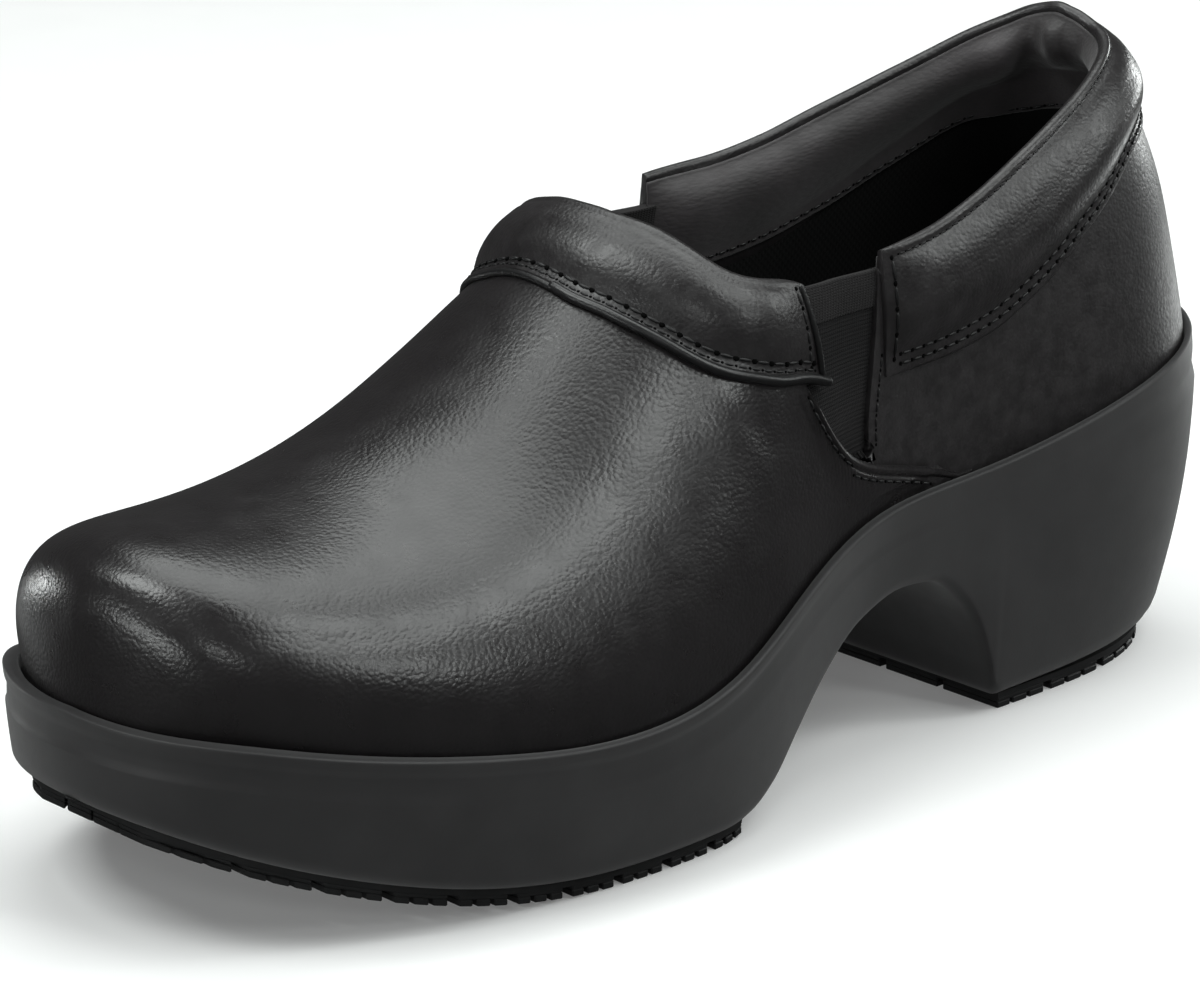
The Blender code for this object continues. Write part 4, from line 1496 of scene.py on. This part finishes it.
# The collar's creases, all on its lateral side. They are read as on that side everywhere,
# because the two sides meet at the back and the nearness of a line is enough.
COLLAR_CREASES: tuple[Crease, ...] = (
    Crease(Side.LATERAL, ((32, 36, 91), (31, 46, 93), (29.6, 56, 97), (27, 66, 103),
                          (24, 75, 109)), 2.0 * MM, 0.55 * MM),
    Crease(Side.LATERAL, ((32, 29, 88), (33, 38, 87), (33, 48, 88), (31, 58, 92)),
           2.4 * MM, 0.35 * MM),
    Crease(Side.LATERAL, ((30, 62, 96), (28, 72, 99), (25, 82, 103)), 1.8 * MM, 0.40 * MM),
    Crease(Side.LATERAL, ((27, 84, 98), (24, 92, 102), (20, 99, 107)), 2.2 * MM, 0.40 * MM),
)


@dataclass
class PaddedRoll:
    """A padded edge: profile outside and inside, as shares of the band and millimetres.

    depth is the band's depth in millimetres. end_share of the padding is left at the
    roll's ends, and all of it end_run away from them. bare is where the leather lies
    without padding, outside and inside.
    """

    last: Last
    shop: Workshop
    outside: tuple[Pair, ...]
    inside: tuple[Pair, ...]
    bare: Pair = (0.5 * MM, -0.7 * MM)
    depth: float = 18.0
    end_share: float = 0.10
    end_run: float = 14 * MM
    edge: float = 0.4 * MM
    edge_turn: float = 1.2

    def profile(self, count: int) -> tuple[Array, Array]:
        """The loop's outline, from the lower edge outside over the top to the inside.

        Args:
            count: number of points.

        Returns:
            Share of the way down the band, and distance out, for each point.
        """
        table = np.array(self.outside + self.inside)
        walked = run_along(np.stack((table[:, 0] * self.depth, table[:, 1]), -1))
        at = np.linspace(0, walked[-1], count)
        down = SmoothCurve(walked, table[:, 0])(at)
        out = SmoothCurve(walked, table[:, 1])(at) * MM
        return down, out

    def taper(self, run: Array) -> Array:
        """Share of the padding left at a distance from the roll's end."""
        share = np.clip(run / self.end_run, 0.0, 1.0)
        return self.end_share + (1 - self.end_share) * share * (2 - share)

    def thinned(self, run: Array, out: Array) -> Array:
        """Distance out with the padding thinned at the roll's end.

        Args:
            run: distance from the end.
            out: distance out with the whole padding.

        Returns:
            Distance out.
        """
        left = self.taper(run)
        outer, inner = self.bare
        return np.where(out > outer, outer + (out - outer) * left,
                        np.where(out < inner, inner + (out - inner) * left, out))

    def roll(self, name: str, points: Array, fill: float, stands_for: str) -> None:
        """Close the profiles into a roll.

        Args:
            name: the piece's name.
            points: a row of points for each profile.
            fill: firmness of the padding; not used.
            stands_for: the solid that it replaces.
        """
        mesh = self.shop.weld(self.shop.grid(stands_for, points), turn_out=True, fill=True)
        made = self.shop.piece(name, mesh, PADDED_LEATHER, Slot.LEATHER, [stands_for])
        self.shop.rounded(made, self.edge, self.edge_turn)


@dataclass
class Collar(PaddedRoll):
    """The padded collar round the heel, from one elastic to the other.

    inner_folds are upright folds inside at the back, read against the distance from the
    back in stations, lateral above zero.
    """

    outside: tuple[Pair, ...] = (
        (1.000, 0.15), (1.000, 0.95), (0.955, 1.10), (0.900, 1.00), (0.850, 1.10),
        (0.800, 1.65), (0.720, 2.75), (0.620, 3.65), (0.520, 4.05), (0.430, 3.95),
        (0.350, 3.72), (0.270, 3.45), (0.200, 3.02), (0.140, 2.45), (0.095, 1.90),
        (0.066, 1.40), (0.044, 1.22), (0.018, 1.38), (-0.012, 1.08), (-0.026, 0.35))
    inside: tuple[Pair, ...] = (
        (-0.020, -0.40), (0.004, -0.85), (0.040, -0.95), (0.075, -1.55), (0.150, -3.20),
        (0.260, -4.30), (0.380, -4.50), (0.520, -3.80), (0.640, -2.80), (0.730, -2.20),
        (0.860, -2.10), (0.950, -1.50))
    start: float = 0.5985
    count: int = 150
    sewn_depth: float = -2.3 * MM
    inner_folds: tuple[Ripple, ...] = (
        Ripple(-0.090, 0.019, 1.2 * MM), Ripple(-0.052, 0.016, -0.8 * MM),
        Ripple(-0.018, 0.017, 1.3 * MM), Ripple(0.024, 0.018, -0.6 * MM))
    crease_face: Pair = (1.4 * MM, 1.2 * MM)
    fold_face: Pair = (1.6 * MM, 1.6 * MM)
    facing_shares: Pair = (0.035, 0.05)
    facing_columns: int = 50
    facing_gap: float = 0.30 * MM
    facing_thick: float = 0.28 * MM

    def loops(self) -> tuple[Array, Array]:
        """Side and station of every profile, from the lateral end round to the medial end."""
        share = np.linspace(0, 1, self.count)
        stations = self.start + (1 - self.start) * share ** 1.15
        sides = np.concatenate([np.ones(self.count), -np.ones(self.count - 1)])
        return sides[:, None], np.concatenate([stations, stations[-2::-1]])[:, None]

    def points(self, side: Array, station: Array, down: Array, out: Array) -> Array:
        """Points of the collar.

        Args:
            side: +1 or -1.
            station: along the collar.
            down: share of the way down the band.
            out: distance out.

        Returns:
            Points with the shape of the inputs.
        """
        shape = np.broadcast_shapes(np.shape(side), np.shape(station), np.shape(down))
        side, station, down = (np.broadcast_to(np.asarray(a, dtype=float), shape).ravel()
                               for a in (side, station, down))
        where, girth = self.last.collar_place(side, station, down)
        return self.last.skin(side, where, girth, np.broadcast_to(out, shape).ravel()
                              ).reshape(*shape, 3)

    def thick_at(self, station: Array, out: Array) -> Array:
        """Distance out after the taper at the collar's ends."""
        return self.thinned((station - self.start) * self.last.length, out)

    def laid(self, side: Array, station: Array, down: Array, out: Array) -> Array:
        """Distance out after the taper and the folds, from the profile's own."""
        base = self.points(side, station, down, 0.0)
        return self.thick_at(station, out) + self.folds(side, station, base, out)

    def folds(self, side: Array, station: Array, base: Array, out: Array) -> Array:
        """Soft creases outside, and upright folds inside at the back.

        Args:
            side: +1 or -1.
            station: along the collar.
            base: places on the last's skin.
            out: distance out at each place.

        Returns:
            Change of the distance out.
        """
        total = np.zeros(base.shape[:-1])
        face = np.clip((out - self.crease_face[0]) / self.crease_face[1], 0, 1)
        for crease in COLLAR_CREASES:
            total += crease.depth_at(Side.LATERAL.value, base) * face
        inner = np.clip((-out - self.fold_face[0]) / self.fold_face[1], 0, 1)
        for fold in self.inner_folds:
            total -= inner * fold.at(side * (1 - station))
        return total

    @staticmethod
    def sewn_at(station: Array) -> Array:
        """Share of the way down the band at which the lining leather is sewn."""
        return 0.735 + 0.42 * np.clip((station - 0.70) / 0.24, 0, 1) ** 1.5

    def facing(self) -> None:
        """Lining leather over the roll's inside, sewn down along its lower part."""
        shares, outs = self.profile(400)
        first = int(np.argmin(shares)) + 12
        side, station = self.loops()
        start, past = self.facing_shares
        reach = np.linspace(0, 1, self.facing_columns)[None]
        down = start + (self.sewn_at(station) + past - start) * reach
        out = np.interp(down, shares[first:], outs[first:])
        out = np.where(down > 0.4, np.minimum(out, self.sewn_depth), out)
        laid = self.laid(side, station, down, out) - self.facing_gap
        points = self.points(side, station, down, laid)
        mesh = self.shop.weld(self.shop.grid("collar_facing", points))
        row = len(side) // 4
        face = mesh.polygons[row * (self.facing_columns - 1) + self.facing_columns // 2]
        if face.normal.x * side[row, 0] > 0:
            mesh.flip_normals()
        made = self.shop.piece("collar_facing", mesh, LINING_LEATHER, Slot.LEATHER)
        self.shop.thicken(made, self.facing_thick, 0.0)

    def build(self) -> None:
        """Make the roll, with its profile swept round the heel."""
        down, out = (values[None] for values in self.profile(76))
        side, station = self.loops()
        points = self.points(side, station, down, self.laid(side, station, down, out))
        points = np.concatenate([points, points[:, :1]], axis=1)
        self.roll("collar_roll", points, 0.7, "collar")


@dataclass
class ThroatBand(PaddedRoll):
    """The padded band over the front of the opening.

    end is the share of its run at which it stops, and half_run the length of that run.
    """

    outside: tuple[Pair, ...] = (
        (1.000, 0.10), (1.000, 0.90), (0.960, 1.05), (0.910, 0.95), (0.860, 1.00),
        (0.800, 1.45), (0.720, 2.15), (0.620, 2.85), (0.500, 3.35), (0.370, 3.50),
        (0.250, 3.25), (0.150, 2.70), (0.085, 2.15), (0.060, 1.80), (0.030, 1.75),
        (-0.005, 1.30), (-0.030, 0.50), (-0.035, -0.50))
    inside: tuple[Pair, ...] = (
        (-0.020, -1.40), (0.030, -2.00), (0.080, -2.80), (0.200, -3.80), (0.340, -4.10),
        (0.520, -3.80), (0.680, -3.00), (0.800, -2.40), (0.820, -1.60))
    bare: Pair = (0.7 * MM, -1.0 * MM)
    end: float = 0.99
    half_run: float = 52 * MM
    count: int = 70

    def points(self, share: Array, down: Array, out: Array) -> Array:
        """Points of the band; share is below zero on the medial side."""
        share, down, out = np.broadcast_arrays(share, down, out)
        station, girth = self.last.throat_place(share, down)
        side = np.where(share >= 0, 1.0, -1.0)
        return self.last.skin(side, station, girth, out)

    def thick_at(self, share: Array, out: Array) -> Array:
        """Distance out after the taper at the band's ends."""
        return self.thinned((self.end - np.abs(share)) * self.half_run, out)

    def build(self) -> None:
        """Make the band, with its profile swept over the front of the opening."""
        down, out = self.profile(64)
        share = np.linspace(-self.end, self.end, 2 * self.count - 1)
        thick = self.thick_at(share[:, None], out[None])
        points = self.points(share[:, None], down[None], thick)
        points = np.concatenate([points, points[:, :1]], axis=1)
        self.roll("throat_roll", points, 0.6, "throat_band")


@dataclass
class Trim:
    """Edge rolls and every line of stitches.

    Rows of stitches are at shares of the way down the collar and the band, and an extent
    is where a line starts and ends. collar_margin and collar_end are stations behind the
    collar's front end, and band_end is a share of the band's run.
    """

    last: Last
    shop: Workshop
    collar: Collar
    band: ThroatBand
    collar_rows: Pair = (0.850, 0.930)
    collar_top_row: float = 0.052
    collar_margin: float = 0.014
    collar_end: float = 0.0078
    collar_end_extent: Pair = (0.06, 0.88)
    facing_depth: float = 0.34 * MM
    band_rows: Pair = (0.845, 0.925)
    band_extent: Pair = (-0.965, 0.965)
    band_end: float = 0.955
    band_end_extent: Pair = (0.06, 0.90)
    vamp_extent: Pair = (0.37, 0.70)
    tail_extent: Pair = (0.72, 0.93)
    quarter_extent: Pair = (0.03, 0.50)
    quarter_row: float = 0.0085

    def __post_init__(self) -> None:
        """Start the meshes that gather the stitches."""
        self.threads = bmesh.new()
        self.holes = bmesh.new()

    def with_normals(self, at: Callable[[Array, float], Array], along: Array
                     ) -> tuple[Array, Array]:
        """A line on a surface and the surface's normals there.

        Args:
            at: gives points for places along the line and an extra distance out.
            along: places along the line.

        Returns:
            Points and unit normals.
        """
        points = at(along, 0.0)
        normals = at(along, 1.0 * MM) - points
        return points, normals / np.linalg.norm(normals, axis=1)[:, None]

    def collar_line(self, side: int, down: float) -> Callable:
        """A line round the collar at one share of the way down its outside."""
        out = float(self.surface(self.collar, np.array(down)))

        def at(station: Array, extra: float) -> Array:
            thick = self.collar.thick_at(station, np.full_like(station, out))
            return self.collar.points(side, station, down, thick + extra)
        return at

    def stitch(self, seam: Seam, at: Callable[[Array, float], Array], along: Array) -> None:
        """Sew one line."""
        path, normals = self.with_normals(at, along)
        seam.build(self.threads, self.holes, path, normals)

    def build(self) -> None:
        """Make every edge roll and line of stitches."""
        collar, band = self.collar, self.band
        bold = Seam(pitch=3.0 * MM, hole=0.44 * MM, thread=0.30 * MM)
        heavy = Seam(pitch=3.5 * MM, hole=0.58 * MM, thread=0.34 * MM, share=0.72)
        fine = Seam(pitch=2.6 * MM, hole=0.30 * MM, thread=0.27 * MM)
        tiny = Seam(pitch=1.9 * MM, hole=0.24 * MM, thread=0.20 * MM)
        long = Seam(pitch=3.8 * MM, hole=0.50 * MM, thread=0.34 * MM, share=0.80)
        for side in SIDES:
            around = np.linspace(collar.start + self.collar_margin, 1.0, 300)
            for down in self.collar_rows:
                self.stitch(bold, self.collar_line(side, down), around)
            self.stitch(tiny, self.collar_line(side, self.collar_top_row), around)

            def at_facing(station: Array, extra: float, side: int = side) -> Array:
                out = collar.thick_at(station, collar.sewn_depth + 0 * station) - self.facing_depth
                return collar.points(side, station, collar.sewn_at(station), out - extra)
            self.stitch(fine, at_facing, around)

            def at_end(down: Array, extra: float, side: int = side) -> Array:
                station = np.full_like(down, collar.start + self.collar_end)
                out = self.surface(collar, down)
                return collar.points(side, station, down, collar.thick_at(station, out) + extra)
            self.stitch(long, at_end, np.linspace(*self.collar_end_extent, 40))

            def at_band_end(down: Array, extra: float, side: int = side) -> Array:
                along = np.full_like(down, self.band_end * side)
                out = self.surface(band, down)
                return band.points(along, down, band.thick_at(along, out) + extra)
            self.stitch(bold, at_band_end, np.linspace(*self.band_end_extent, 40))
            self.sew_vamp(side)
        for down, seam in zip(self.band_rows, (heavy, fine)):

            def at_band(along: Array, extra: float, down: float = down) -> Array:
                thick = band.thick_at(along, self.surface(band, np.full_like(along, down)))
                return band.points(along, down, thick + extra)
            self.stitch(seam, at_band, np.linspace(*self.band_extent, 420))
        self.edge_rolls()
        # The needle holes' mesh holds black points of painted shade.
        for name, shape, finish in (("stitches", self.threads, THREAD),
                                    ("needle_holes", self.holes, HOLE_SHADE)):
            mesh = bpy.data.meshes.new(name)
            shape.to_mesh(mesh)
            shape.free()
            self.shop.piece(name, mesh, finish, Slot.LEATHER)

    @staticmethod
    def surface(roll: PaddedRoll, down: Array) -> Array:
        """Distance out of a roll's outside at shares of the way down it."""
        shares, outs = roll.profile(400)
        outer = slice(0, int(np.argmin(shares)))
        return np.interp(down, shares[outer][::-1], outs[outer][::-1])

    def sew_vamp(self, side: int) -> None:
        """The lines behind the vamp's edge and the quarter's front edge."""
        last = self.last
        seam = Seam(pitch=2.5 * MM, hole=0.32 * MM, thread=0.27 * MM)

        def at_vamp_edge(share: Array, extra: float) -> Array:
            station, girth = last.vamp_edge(side, share, 1.5 * MM)
            return last.skin(side, station, girth, 0.95 * MM + extra)

        def at_vamp_tail(share: Array, extra: float) -> Array:
            station, girth = last.vamp_edge(side, share, 2.9 * MM)
            return last.skin(side, station, girth, 0.80 * MM + extra)

        def at_quarter_front(up: Array, extra: float) -> Array:
            station, girth = last.gore_place(side, False, up)
            return last.skin(side, station + self.quarter_row, girth, extra)
        self.stitch(seam, at_vamp_edge, np.linspace(*self.vamp_extent, 90))
        self.stitch(seam, at_vamp_tail, np.linspace(*self.tail_extent, 60))
        self.stitch(seam, at_quarter_front, np.linspace(*self.quarter_extent, 60))

    @staticmethod
    def closing(start: Array, end: Array, run: float) -> Array:
        """Share of a cord's radius left near its ends, which rounds them off.

        Args:
            start: distance from one end.
            end: distance from the other.
            run: distance over which an end closes.

        Returns:
            Share of the radius.
        """
        return np.clip(np.minimum(start, end) / run, 0.05, 1) ** 0.5

    def edge_rolls(self) -> None:
        """The rolled edges of the band, and its folded ends."""
        band, shop = self.band, self.shop
        rolls = []
        share = np.linspace(0.10, 0.985, 160)

        def at_low(along: Array, extra: float) -> Array:
            return band.points(along, 1.015, 0.75 * MM + extra)
        path, normals = self.with_normals(at_low, share)
        ahead = (path[-1] - path[-6]) / np.linalg.norm(path[-1] - path[-6])
        tail = path[-1] + np.linspace(0, 2.4 * MM, 12)[1:, None] * ahead
        path = np.concatenate([path, tail])
        normals = np.concatenate([normals, np.repeat(normals[-1:], len(tail), axis=0)])
        rest = np.linalg.norm(path - path[-1], axis=1)
        first = np.linalg.norm(path - path[0], axis=1)
        size = 0.95 * MM * self.closing(rest, first, 0.9 * MM)
        rolls.append(shop.cord(path, normals, size))
        share = np.linspace(0.15, -0.985, 180)

        def at_far(along: Array, extra: float) -> Array:
            return band.points(along, 1.03, 0.45 * MM + extra)
        path, normals = self.with_normals(at_far, share)
        size = 0.7 * MM * self.closing(0.15 - share, share + 0.985, 0.012)
        rolls.append(shop.cord(path, normals, size))
        for side in SIDES:
            down = np.linspace(-0.02, 0.97, 60)

            def at_end(along: Array, extra: float, side: int = side) -> Array:
                swell = 0.7 * MM + 0.6 * MM * np.sin(np.pi * np.clip(along, 0, 1))
                return band.points(np.full_like(along, 0.985 * side), along, swell + extra)
            path, normals = self.with_normals(at_end, down)
            size = 0.62 * MM * self.closing(down + 0.02, 0.97 - down, 0.03)
            rolls.append(shop.cord(path, normals, size))
        mesh = shop.join("edge_rolls", rolls)
        shop.piece("edge_rolls", mesh, EDGE_LEATHER, Slot.LEATHER)


@dataclass
class Sole:
    """The moulded unit and the rubber tread under it.

    heel and forefoot are the station where each starts or ends, and the run over which
    its shape comes in. lip_rows are the distances below the rim, in millimetres, of the
    rows that shape the lip.
    """

    last: Last
    shop: Workshop
    heel: Pair = (0.72, 0.2)
    forefoot: Pair = (0.42, 0.12)
    lip_rows: tuple[float, ...] = (0.0, 0.12, 0.45, 1.0, 1.6, 2.2, 2.8, 3.4, 4.2, 5.2, 6.5)
    lip_round: float = 0.55 * MM
    lip_height: float = 2.6 * MM
    lip_step: float = 0.45 * MM
    lip_soft: float = 0.22 * MM
    lip_fade: Pair = (3.0 * MM, 4.0 * MM)
    heel_lip: Ripple = Ripple(0.0, 3.0 * MM, 0.8 * MM)
    bottom_round: float = 2.6 * MM
    heel_round: float = 6.0 * MM
    bulge: float = 1.0 * MM
    bulge_shares: Pair = (0.3, 2.0)
    front_steps: int = 190
    front_crowding: float = 1.8
    back_steps: int = 110
    bed_rows: tuple[float, ...] = (0.0, 0.5, 0.9, 1.0)
    bed_edge: Pair = (0.5 * MM, 0.3 * MM)
    tread_inset: float = 2.3 * MM
    web: float = 1.2 * MM
    plate: Pair = (-1.3 * MM, -0.15 * MM)
    groove: float = 2.0 * MM
    cut: float = 0.75 * MM
    cut_share: float = 0.40
    back_share: float = 0.45
    lug_edge: float = 0.22 * MM

    def stations(self) -> Array:
        """Stations round one side, close together at the toe."""
        start = self.last.fan_start
        front = start * np.linspace(0, 1, self.front_steps) ** self.front_crowding
        back = np.linspace(start, 1, self.back_steps)[1:]
        return np.concatenate([front, back])

    def side_rows(self, side: int, station: Array) -> list[Array]:
        """Rows of the side wall, from the lip's top edge to the bottom edge.

        Args:
            side: +1 or -1.
            station: along the rim.

        Returns:
            Rows of points.
        """
        last = self.last
        rim = last.outline(side, station, 0.0, last.rim_height(station))
        heel = np.clip((station - self.heel[0]) / self.heel[1], 0, 1)
        radius = self.bottom_round + (self.heel_round - self.bottom_round) * heel
        bottom = last.under_edge(np.full_like(station, side), station, 0.0, 0.0)
        inner = last.under_edge(np.full_like(station, side), station, 1.0 * MM, 0.0)
        inward = inner - bottom
        inward /= np.maximum(np.linalg.norm(inward, axis=1)[:, None], 1e-9)
        up = rim - bottom
        tall = np.linalg.norm(up, axis=1)
        up = up / tall[:, None]
        radius = np.minimum(radius, 0.3 * tall)
        rows = []
        forefoot = 1 - np.clip((station - self.forefoot[0]) / self.forefoot[1], 0, 1)
        corner = self.lip_round
        for down in self.lip_rows:
            d = down * MM
            inset = corner - np.sqrt(max(corner ** 2 - max(corner - d, 0.0) ** 2, 0.0))
            step = self.lip_step / (1 + np.exp(-(d - self.lip_height) / self.lip_soft))
            back = self.lip_step * np.clip((d - self.lip_fade[0]) / self.lip_fade[1], 0, 1)
            depth = inset + (step - back) * forefoot + self.heel_lip.at(d) * heel
            rows.append(rim - up * d + inward * depth[:, None])
        reached = self.lip_rows[-1] * MM
        fore_share, heel_share = self.bulge_shares
        bulge = self.bulge * (fore_share + heel_share * heel)
        for share in np.linspace(0, 1, 16)[1:]:
            d = reached + (tall - reached - radius) * share
            swell = bulge * np.sin(np.pi * np.clip(d / tall, 0, 1))
            rows.append(rim - up * d[:, None] - inward * swell[:, None])
        base = rows[-1]
        turn_to = bottom + inward * radius[:, None]
        for angle in np.linspace(0, 0.5 * np.pi, 7)[1:]:
            rows.append(bottom + (base - bottom) * (1 - np.sin(angle))
                        + (turn_to - bottom) * (1 - np.cos(angle)))
        return rows

    def make_unit(self) -> None:
        """The moulded unit: bed, lip, side wall and underside, in one skin."""
        last = self.last
        station = self.stations()
        halves = []
        down, out = self.bed_edge
        high = last.rim_height(station)
        for side in SIDES:
            sides = np.full_like(station, side)
            edge = last.outline(sides, station, last.lip, high - last.bed_depth)
            other = last.outline(-sides, station, last.lip, high - last.bed_depth)
            middle = 0.5 * (edge + other)
            rows = [middle + (edge - middle) * share for share in self.bed_rows]
            rows.append(last.outline(sides, station, last.lip, high - down))
            rows.append(last.outline(sides, station, last.lip - out, high))
            rows += self.side_rows(side, station)
            low_l = rows[-1]
            centre = last.under_across(station, np.zeros_like(station), 0.0, 0.0)
            for share in np.linspace(0, 1, 12)[1:]:
                rows.append(low_l + (centre - low_l) * share)
            points = np.stack(rows)
            halves.append(self.shop.grid("sole_half", points))
        mesh = self.shop.weld(self.shop.join("sole", halves), 0.03 * MM, turn_out=True)
        self.shop.piece("sole_unit", mesh, FOAM_SOLE, Slot.SOLE, ["sole"])

    def lug(self, target: BMesh, first: float, last_station: float, low: float,
            high: float, cuts: int) -> None:
        """One tread block with thin cuts across it.

        Args:
            target: mesh that takes the block.
            first: station of its front face.
            last_station: station of its back face.
            low: its medial edge, from -1 to 1 across the tread.
            high: its lateral edge.
            cuts: number of thin cuts.
        """
        last = self.last
        gap = self.cut / last.length
        slabs = cuts + 1
        run = (last_station - first - cuts * gap) / slabs
        boxes = [(first, last_station, 0.0, self.back_share)]
        boxes += [(first + i * (run + gap), first + i * (run + gap) + run, self.cut_share, 1.0)
                  for i in range(slabs)]
        drop = last.tread - self.web
        for start, end, top, bottom in boxes:
            made = bmesh.ops.create_cube(target, size=1.0)
            verts = made["verts"]
            unit = np.array([v.co[:] for v in verts]) + 0.5
            station = start + (end - start) * unit[:, 1]
            across = low + (high - low) * unit[:, 0]
            depth = -(self.web + drop * (bottom + (top - bottom) * unit[:, 2]))
            places = last.under_across(station, across, self.tread_inset, depth)
            for vert, place in zip(verts, places):
                vert.co = place
            edges = {edge for vert in verts for edge in vert.link_edges}
            bmesh.ops.bevel(target, geom=list(edges), offset=self.lug_edge, segments=1,
                            profile=0.5, affect="EDGES", material=-1)

    def make_tread(self, name: str, extent: Pair, rows: int, lanes: int) -> None:
        """The rubber tread: a thin web with blocks standing down from it.

        Args:
            name: forefoot or heel.
            extent: first and last station.
            rows: rows of blocks along the shoe.
            lanes: blocks across it.
        """
        last = self.last
        shape = bmesh.new()
        groove = self.groove / last.length
        block = (extent[1] - extent[0] - (rows - 1) * groove) / rows
        half = self.groove / (2 * 0.85 * last.half)
        for i in range(rows):
            start = extent[0] + i * (block + groove)
            for j in range(lanes):
                low = -1 + 2 * j / lanes + (half if j else 0)
                high = -1 + 2 * (j + 1) / lanes - (half if j < lanes - 1 else 0)
                self.lug(shape, start, start + block, low, high, 2)
        blocks = bpy.data.meshes.new(name)
        shape.to_mesh(blocks)
        shape.free()
        station, across = np.broadcast_arrays(np.linspace(*extent, 80)[:, None],
                                              np.linspace(-1, 1, 25)[None])
        web, roof = (last.under_across(station, across, self.tread_inset, height)
                     for height in self.plate)
        ring = np.concatenate([web, roof[:, ::-1], web[:, :1]], axis=1)
        plate = self.shop.weld(self.shop.grid("web", ring), turn_out=True, fill=True)
        mesh = self.shop.join(name, [blocks, plate])
        self.shop.piece("tread_" + name, mesh, TREAD_RUBBER, Slot.OUTSOLE, ["outsole_" + name])
        mesh.set_sharp_from_angle(angle=0.6)

    def build(self) -> None:
        """Make the unit and both treads."""
        self.make_unit()
        self.make_tread("forefoot", (0.012, 0.425), 10, 4)
        self.make_tread("heel", (0.742, 0.965), 4, 4)


@dataclass(frozen=True)
class SoftBox:
    """A studio light, aimed at the shoe."""

    name: str
    azimuth: float
    elevation: float
    distance: float
    width: float
    height: float
    radiance: float
    colour: Triple = (0.965, 1.0, 0.985)

    def build(self, target: Vector) -> None:
        """Place the light.

        Args:
            target: the point that it faces.
        """
        data = bpy.data.lights.new(self.name, "AREA")
        data.shape = "RECTANGLE"
        data.size, data.size_y = self.width, self.height
        data.energy = self.radiance * np.pi * self.width * self.height
        data.color = self.colour
        made = bpy.data.objects.new(self.name, data)
        aim(made, target, self.azimuth, self.elevation, self.distance)


def aim(made: Object, target: Vector, azimuth: float, elevation: float,
        distance: float) -> None:
    """Put a light or a camera in the scene, facing a point.

    Args:
        made: the light or camera.
        target: the point.
        azimuth: in degrees, 0 before the toe and 90 at the outer side.
        elevation: in degrees.
        distance: from the point.
    """
    a, e = np.radians(azimuth), np.radians(elevation)
    away = Vector((np.sin(a) * np.cos(e), -np.cos(a) * np.cos(e), np.sin(e)))
    made.location = target + away * distance
    made.rotation_euler = (-away).to_track_quat("-Z", "Y").to_euler()
    bpy.context.scene.collection.objects.link(made)


@dataclass
class Studio:
    """Floor, light and camera."""

    shop: Workshop
    target: Triple = (-0.00183, -0.0122, 0.0494)
    azimuth: float = 47.94
    elevation: float = 17.85
    distance: float = 0.901
    lens: float = 151.6
    floor_size: float = 8.0
    ambient: float = 0.05
    lights: tuple[SoftBox, ...] = (
        SoftBox("overhead", -145.0, 74.0, 1.2, 1.00, 1.02, 3.0),
        SoftBox("right_back", 117.0, 56.0, 1.2, 0.66, 0.40, 4.6),
        SoftBox("right_strip", 101.0, 32.0, 1.2, 0.11, 0.34, 12.0),
        SoftBox("front_left", -21.0, 57.0, 1.3, 0.60, 0.56, 7.4),
        SoftBox("front_strip", -3.0, 9.0, 1.3, 0.66, 0.12, 10.0),
        SoftBox("toe_kick", -65.6, -4.3, 0.337, 0.045, 0.03, 13.0),
        SoftBox("toe_low", -52.0, -12.0, 0.171, 0.10, 0.02, 0.3),
        SoftBox("heel_low", -178.5, -4.0, 0.317, 0.12, 0.04, 2.2),
        SoftBox("collar_side", 147.0, 28.0, 1.2, 0.27, 0.56, 5.2),
        SoftBox("heel_rim", -172.0, 4.6, 1.2, 0.40, 0.18, 11.0),
        SoftBox("above_camera", 43.0, 28.0, 1.3, 0.30, 0.18, 6.0),
    )

    def build(self) -> None:
        """Make the floor, the lights and the camera."""
        shape = bmesh.new()
        bmesh.ops.create_grid(shape, x_segments=1, y_segments=1, size=0.5 * self.floor_size)
        mesh = bpy.data.meshes.new("floor")
        shape.to_mesh(mesh)
        shape.free()
        mesh.materials.append(self.shop.material(FLOOR))
        floor = bpy.data.objects.new("floor", mesh)
        bpy.context.scene.collection.objects.link(floor)
        floor.visible_glossy = False
        world = bpy.data.worlds.new("studio")
        world.use_nodes = True
        back = world.node_tree.nodes["Background"]
        back.inputs["Color"].default_value = WHITE
        back.inputs["Strength"].default_value = self.ambient
        bpy.context.scene.world = world
        target = Vector(self.target)
        for light in self.lights:
            light.build(target)
        data = bpy.data.cameras.new("camera")
        data.lens = self.lens
        data.sensor_width = 36.0
        data.clip_start = 0.01
        data.clip_end = 50.0
        camera = bpy.data.objects.new("camera", data)
        aim(camera, target, self.azimuth, self.elevation, self.distance)
        bpy.context.scene.camera = camera
        bpy.context.scene.view_settings.view_transform = "Standard"


def main() -> None:
    """Build the shoe and its studio; each piece logs its face count."""
    logging.basicConfig(level=logging.INFO, format="%(name)s %(message)s")
    for old in list(bpy.data.objects):
        bpy.data.objects.remove(old)
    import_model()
    last = Last()
    shop = Workshop()
    upper = Upper(last, shop)
    upper.make_vamp()
    upper.make_quarters()
    for side in Side:
        upper.make_gore(side)
    upper.make_linings()
    upper.make_insole()
    collar = Collar(last, shop)
    collar.build()
    collar.facing()
    band = ThroatBand(last, shop)
    band.build()
    Trim(last, shop, collar, band).build()
    Sole(last, shop).build()
    Studio(shop).build()


if __name__ == "__main__":
    main()
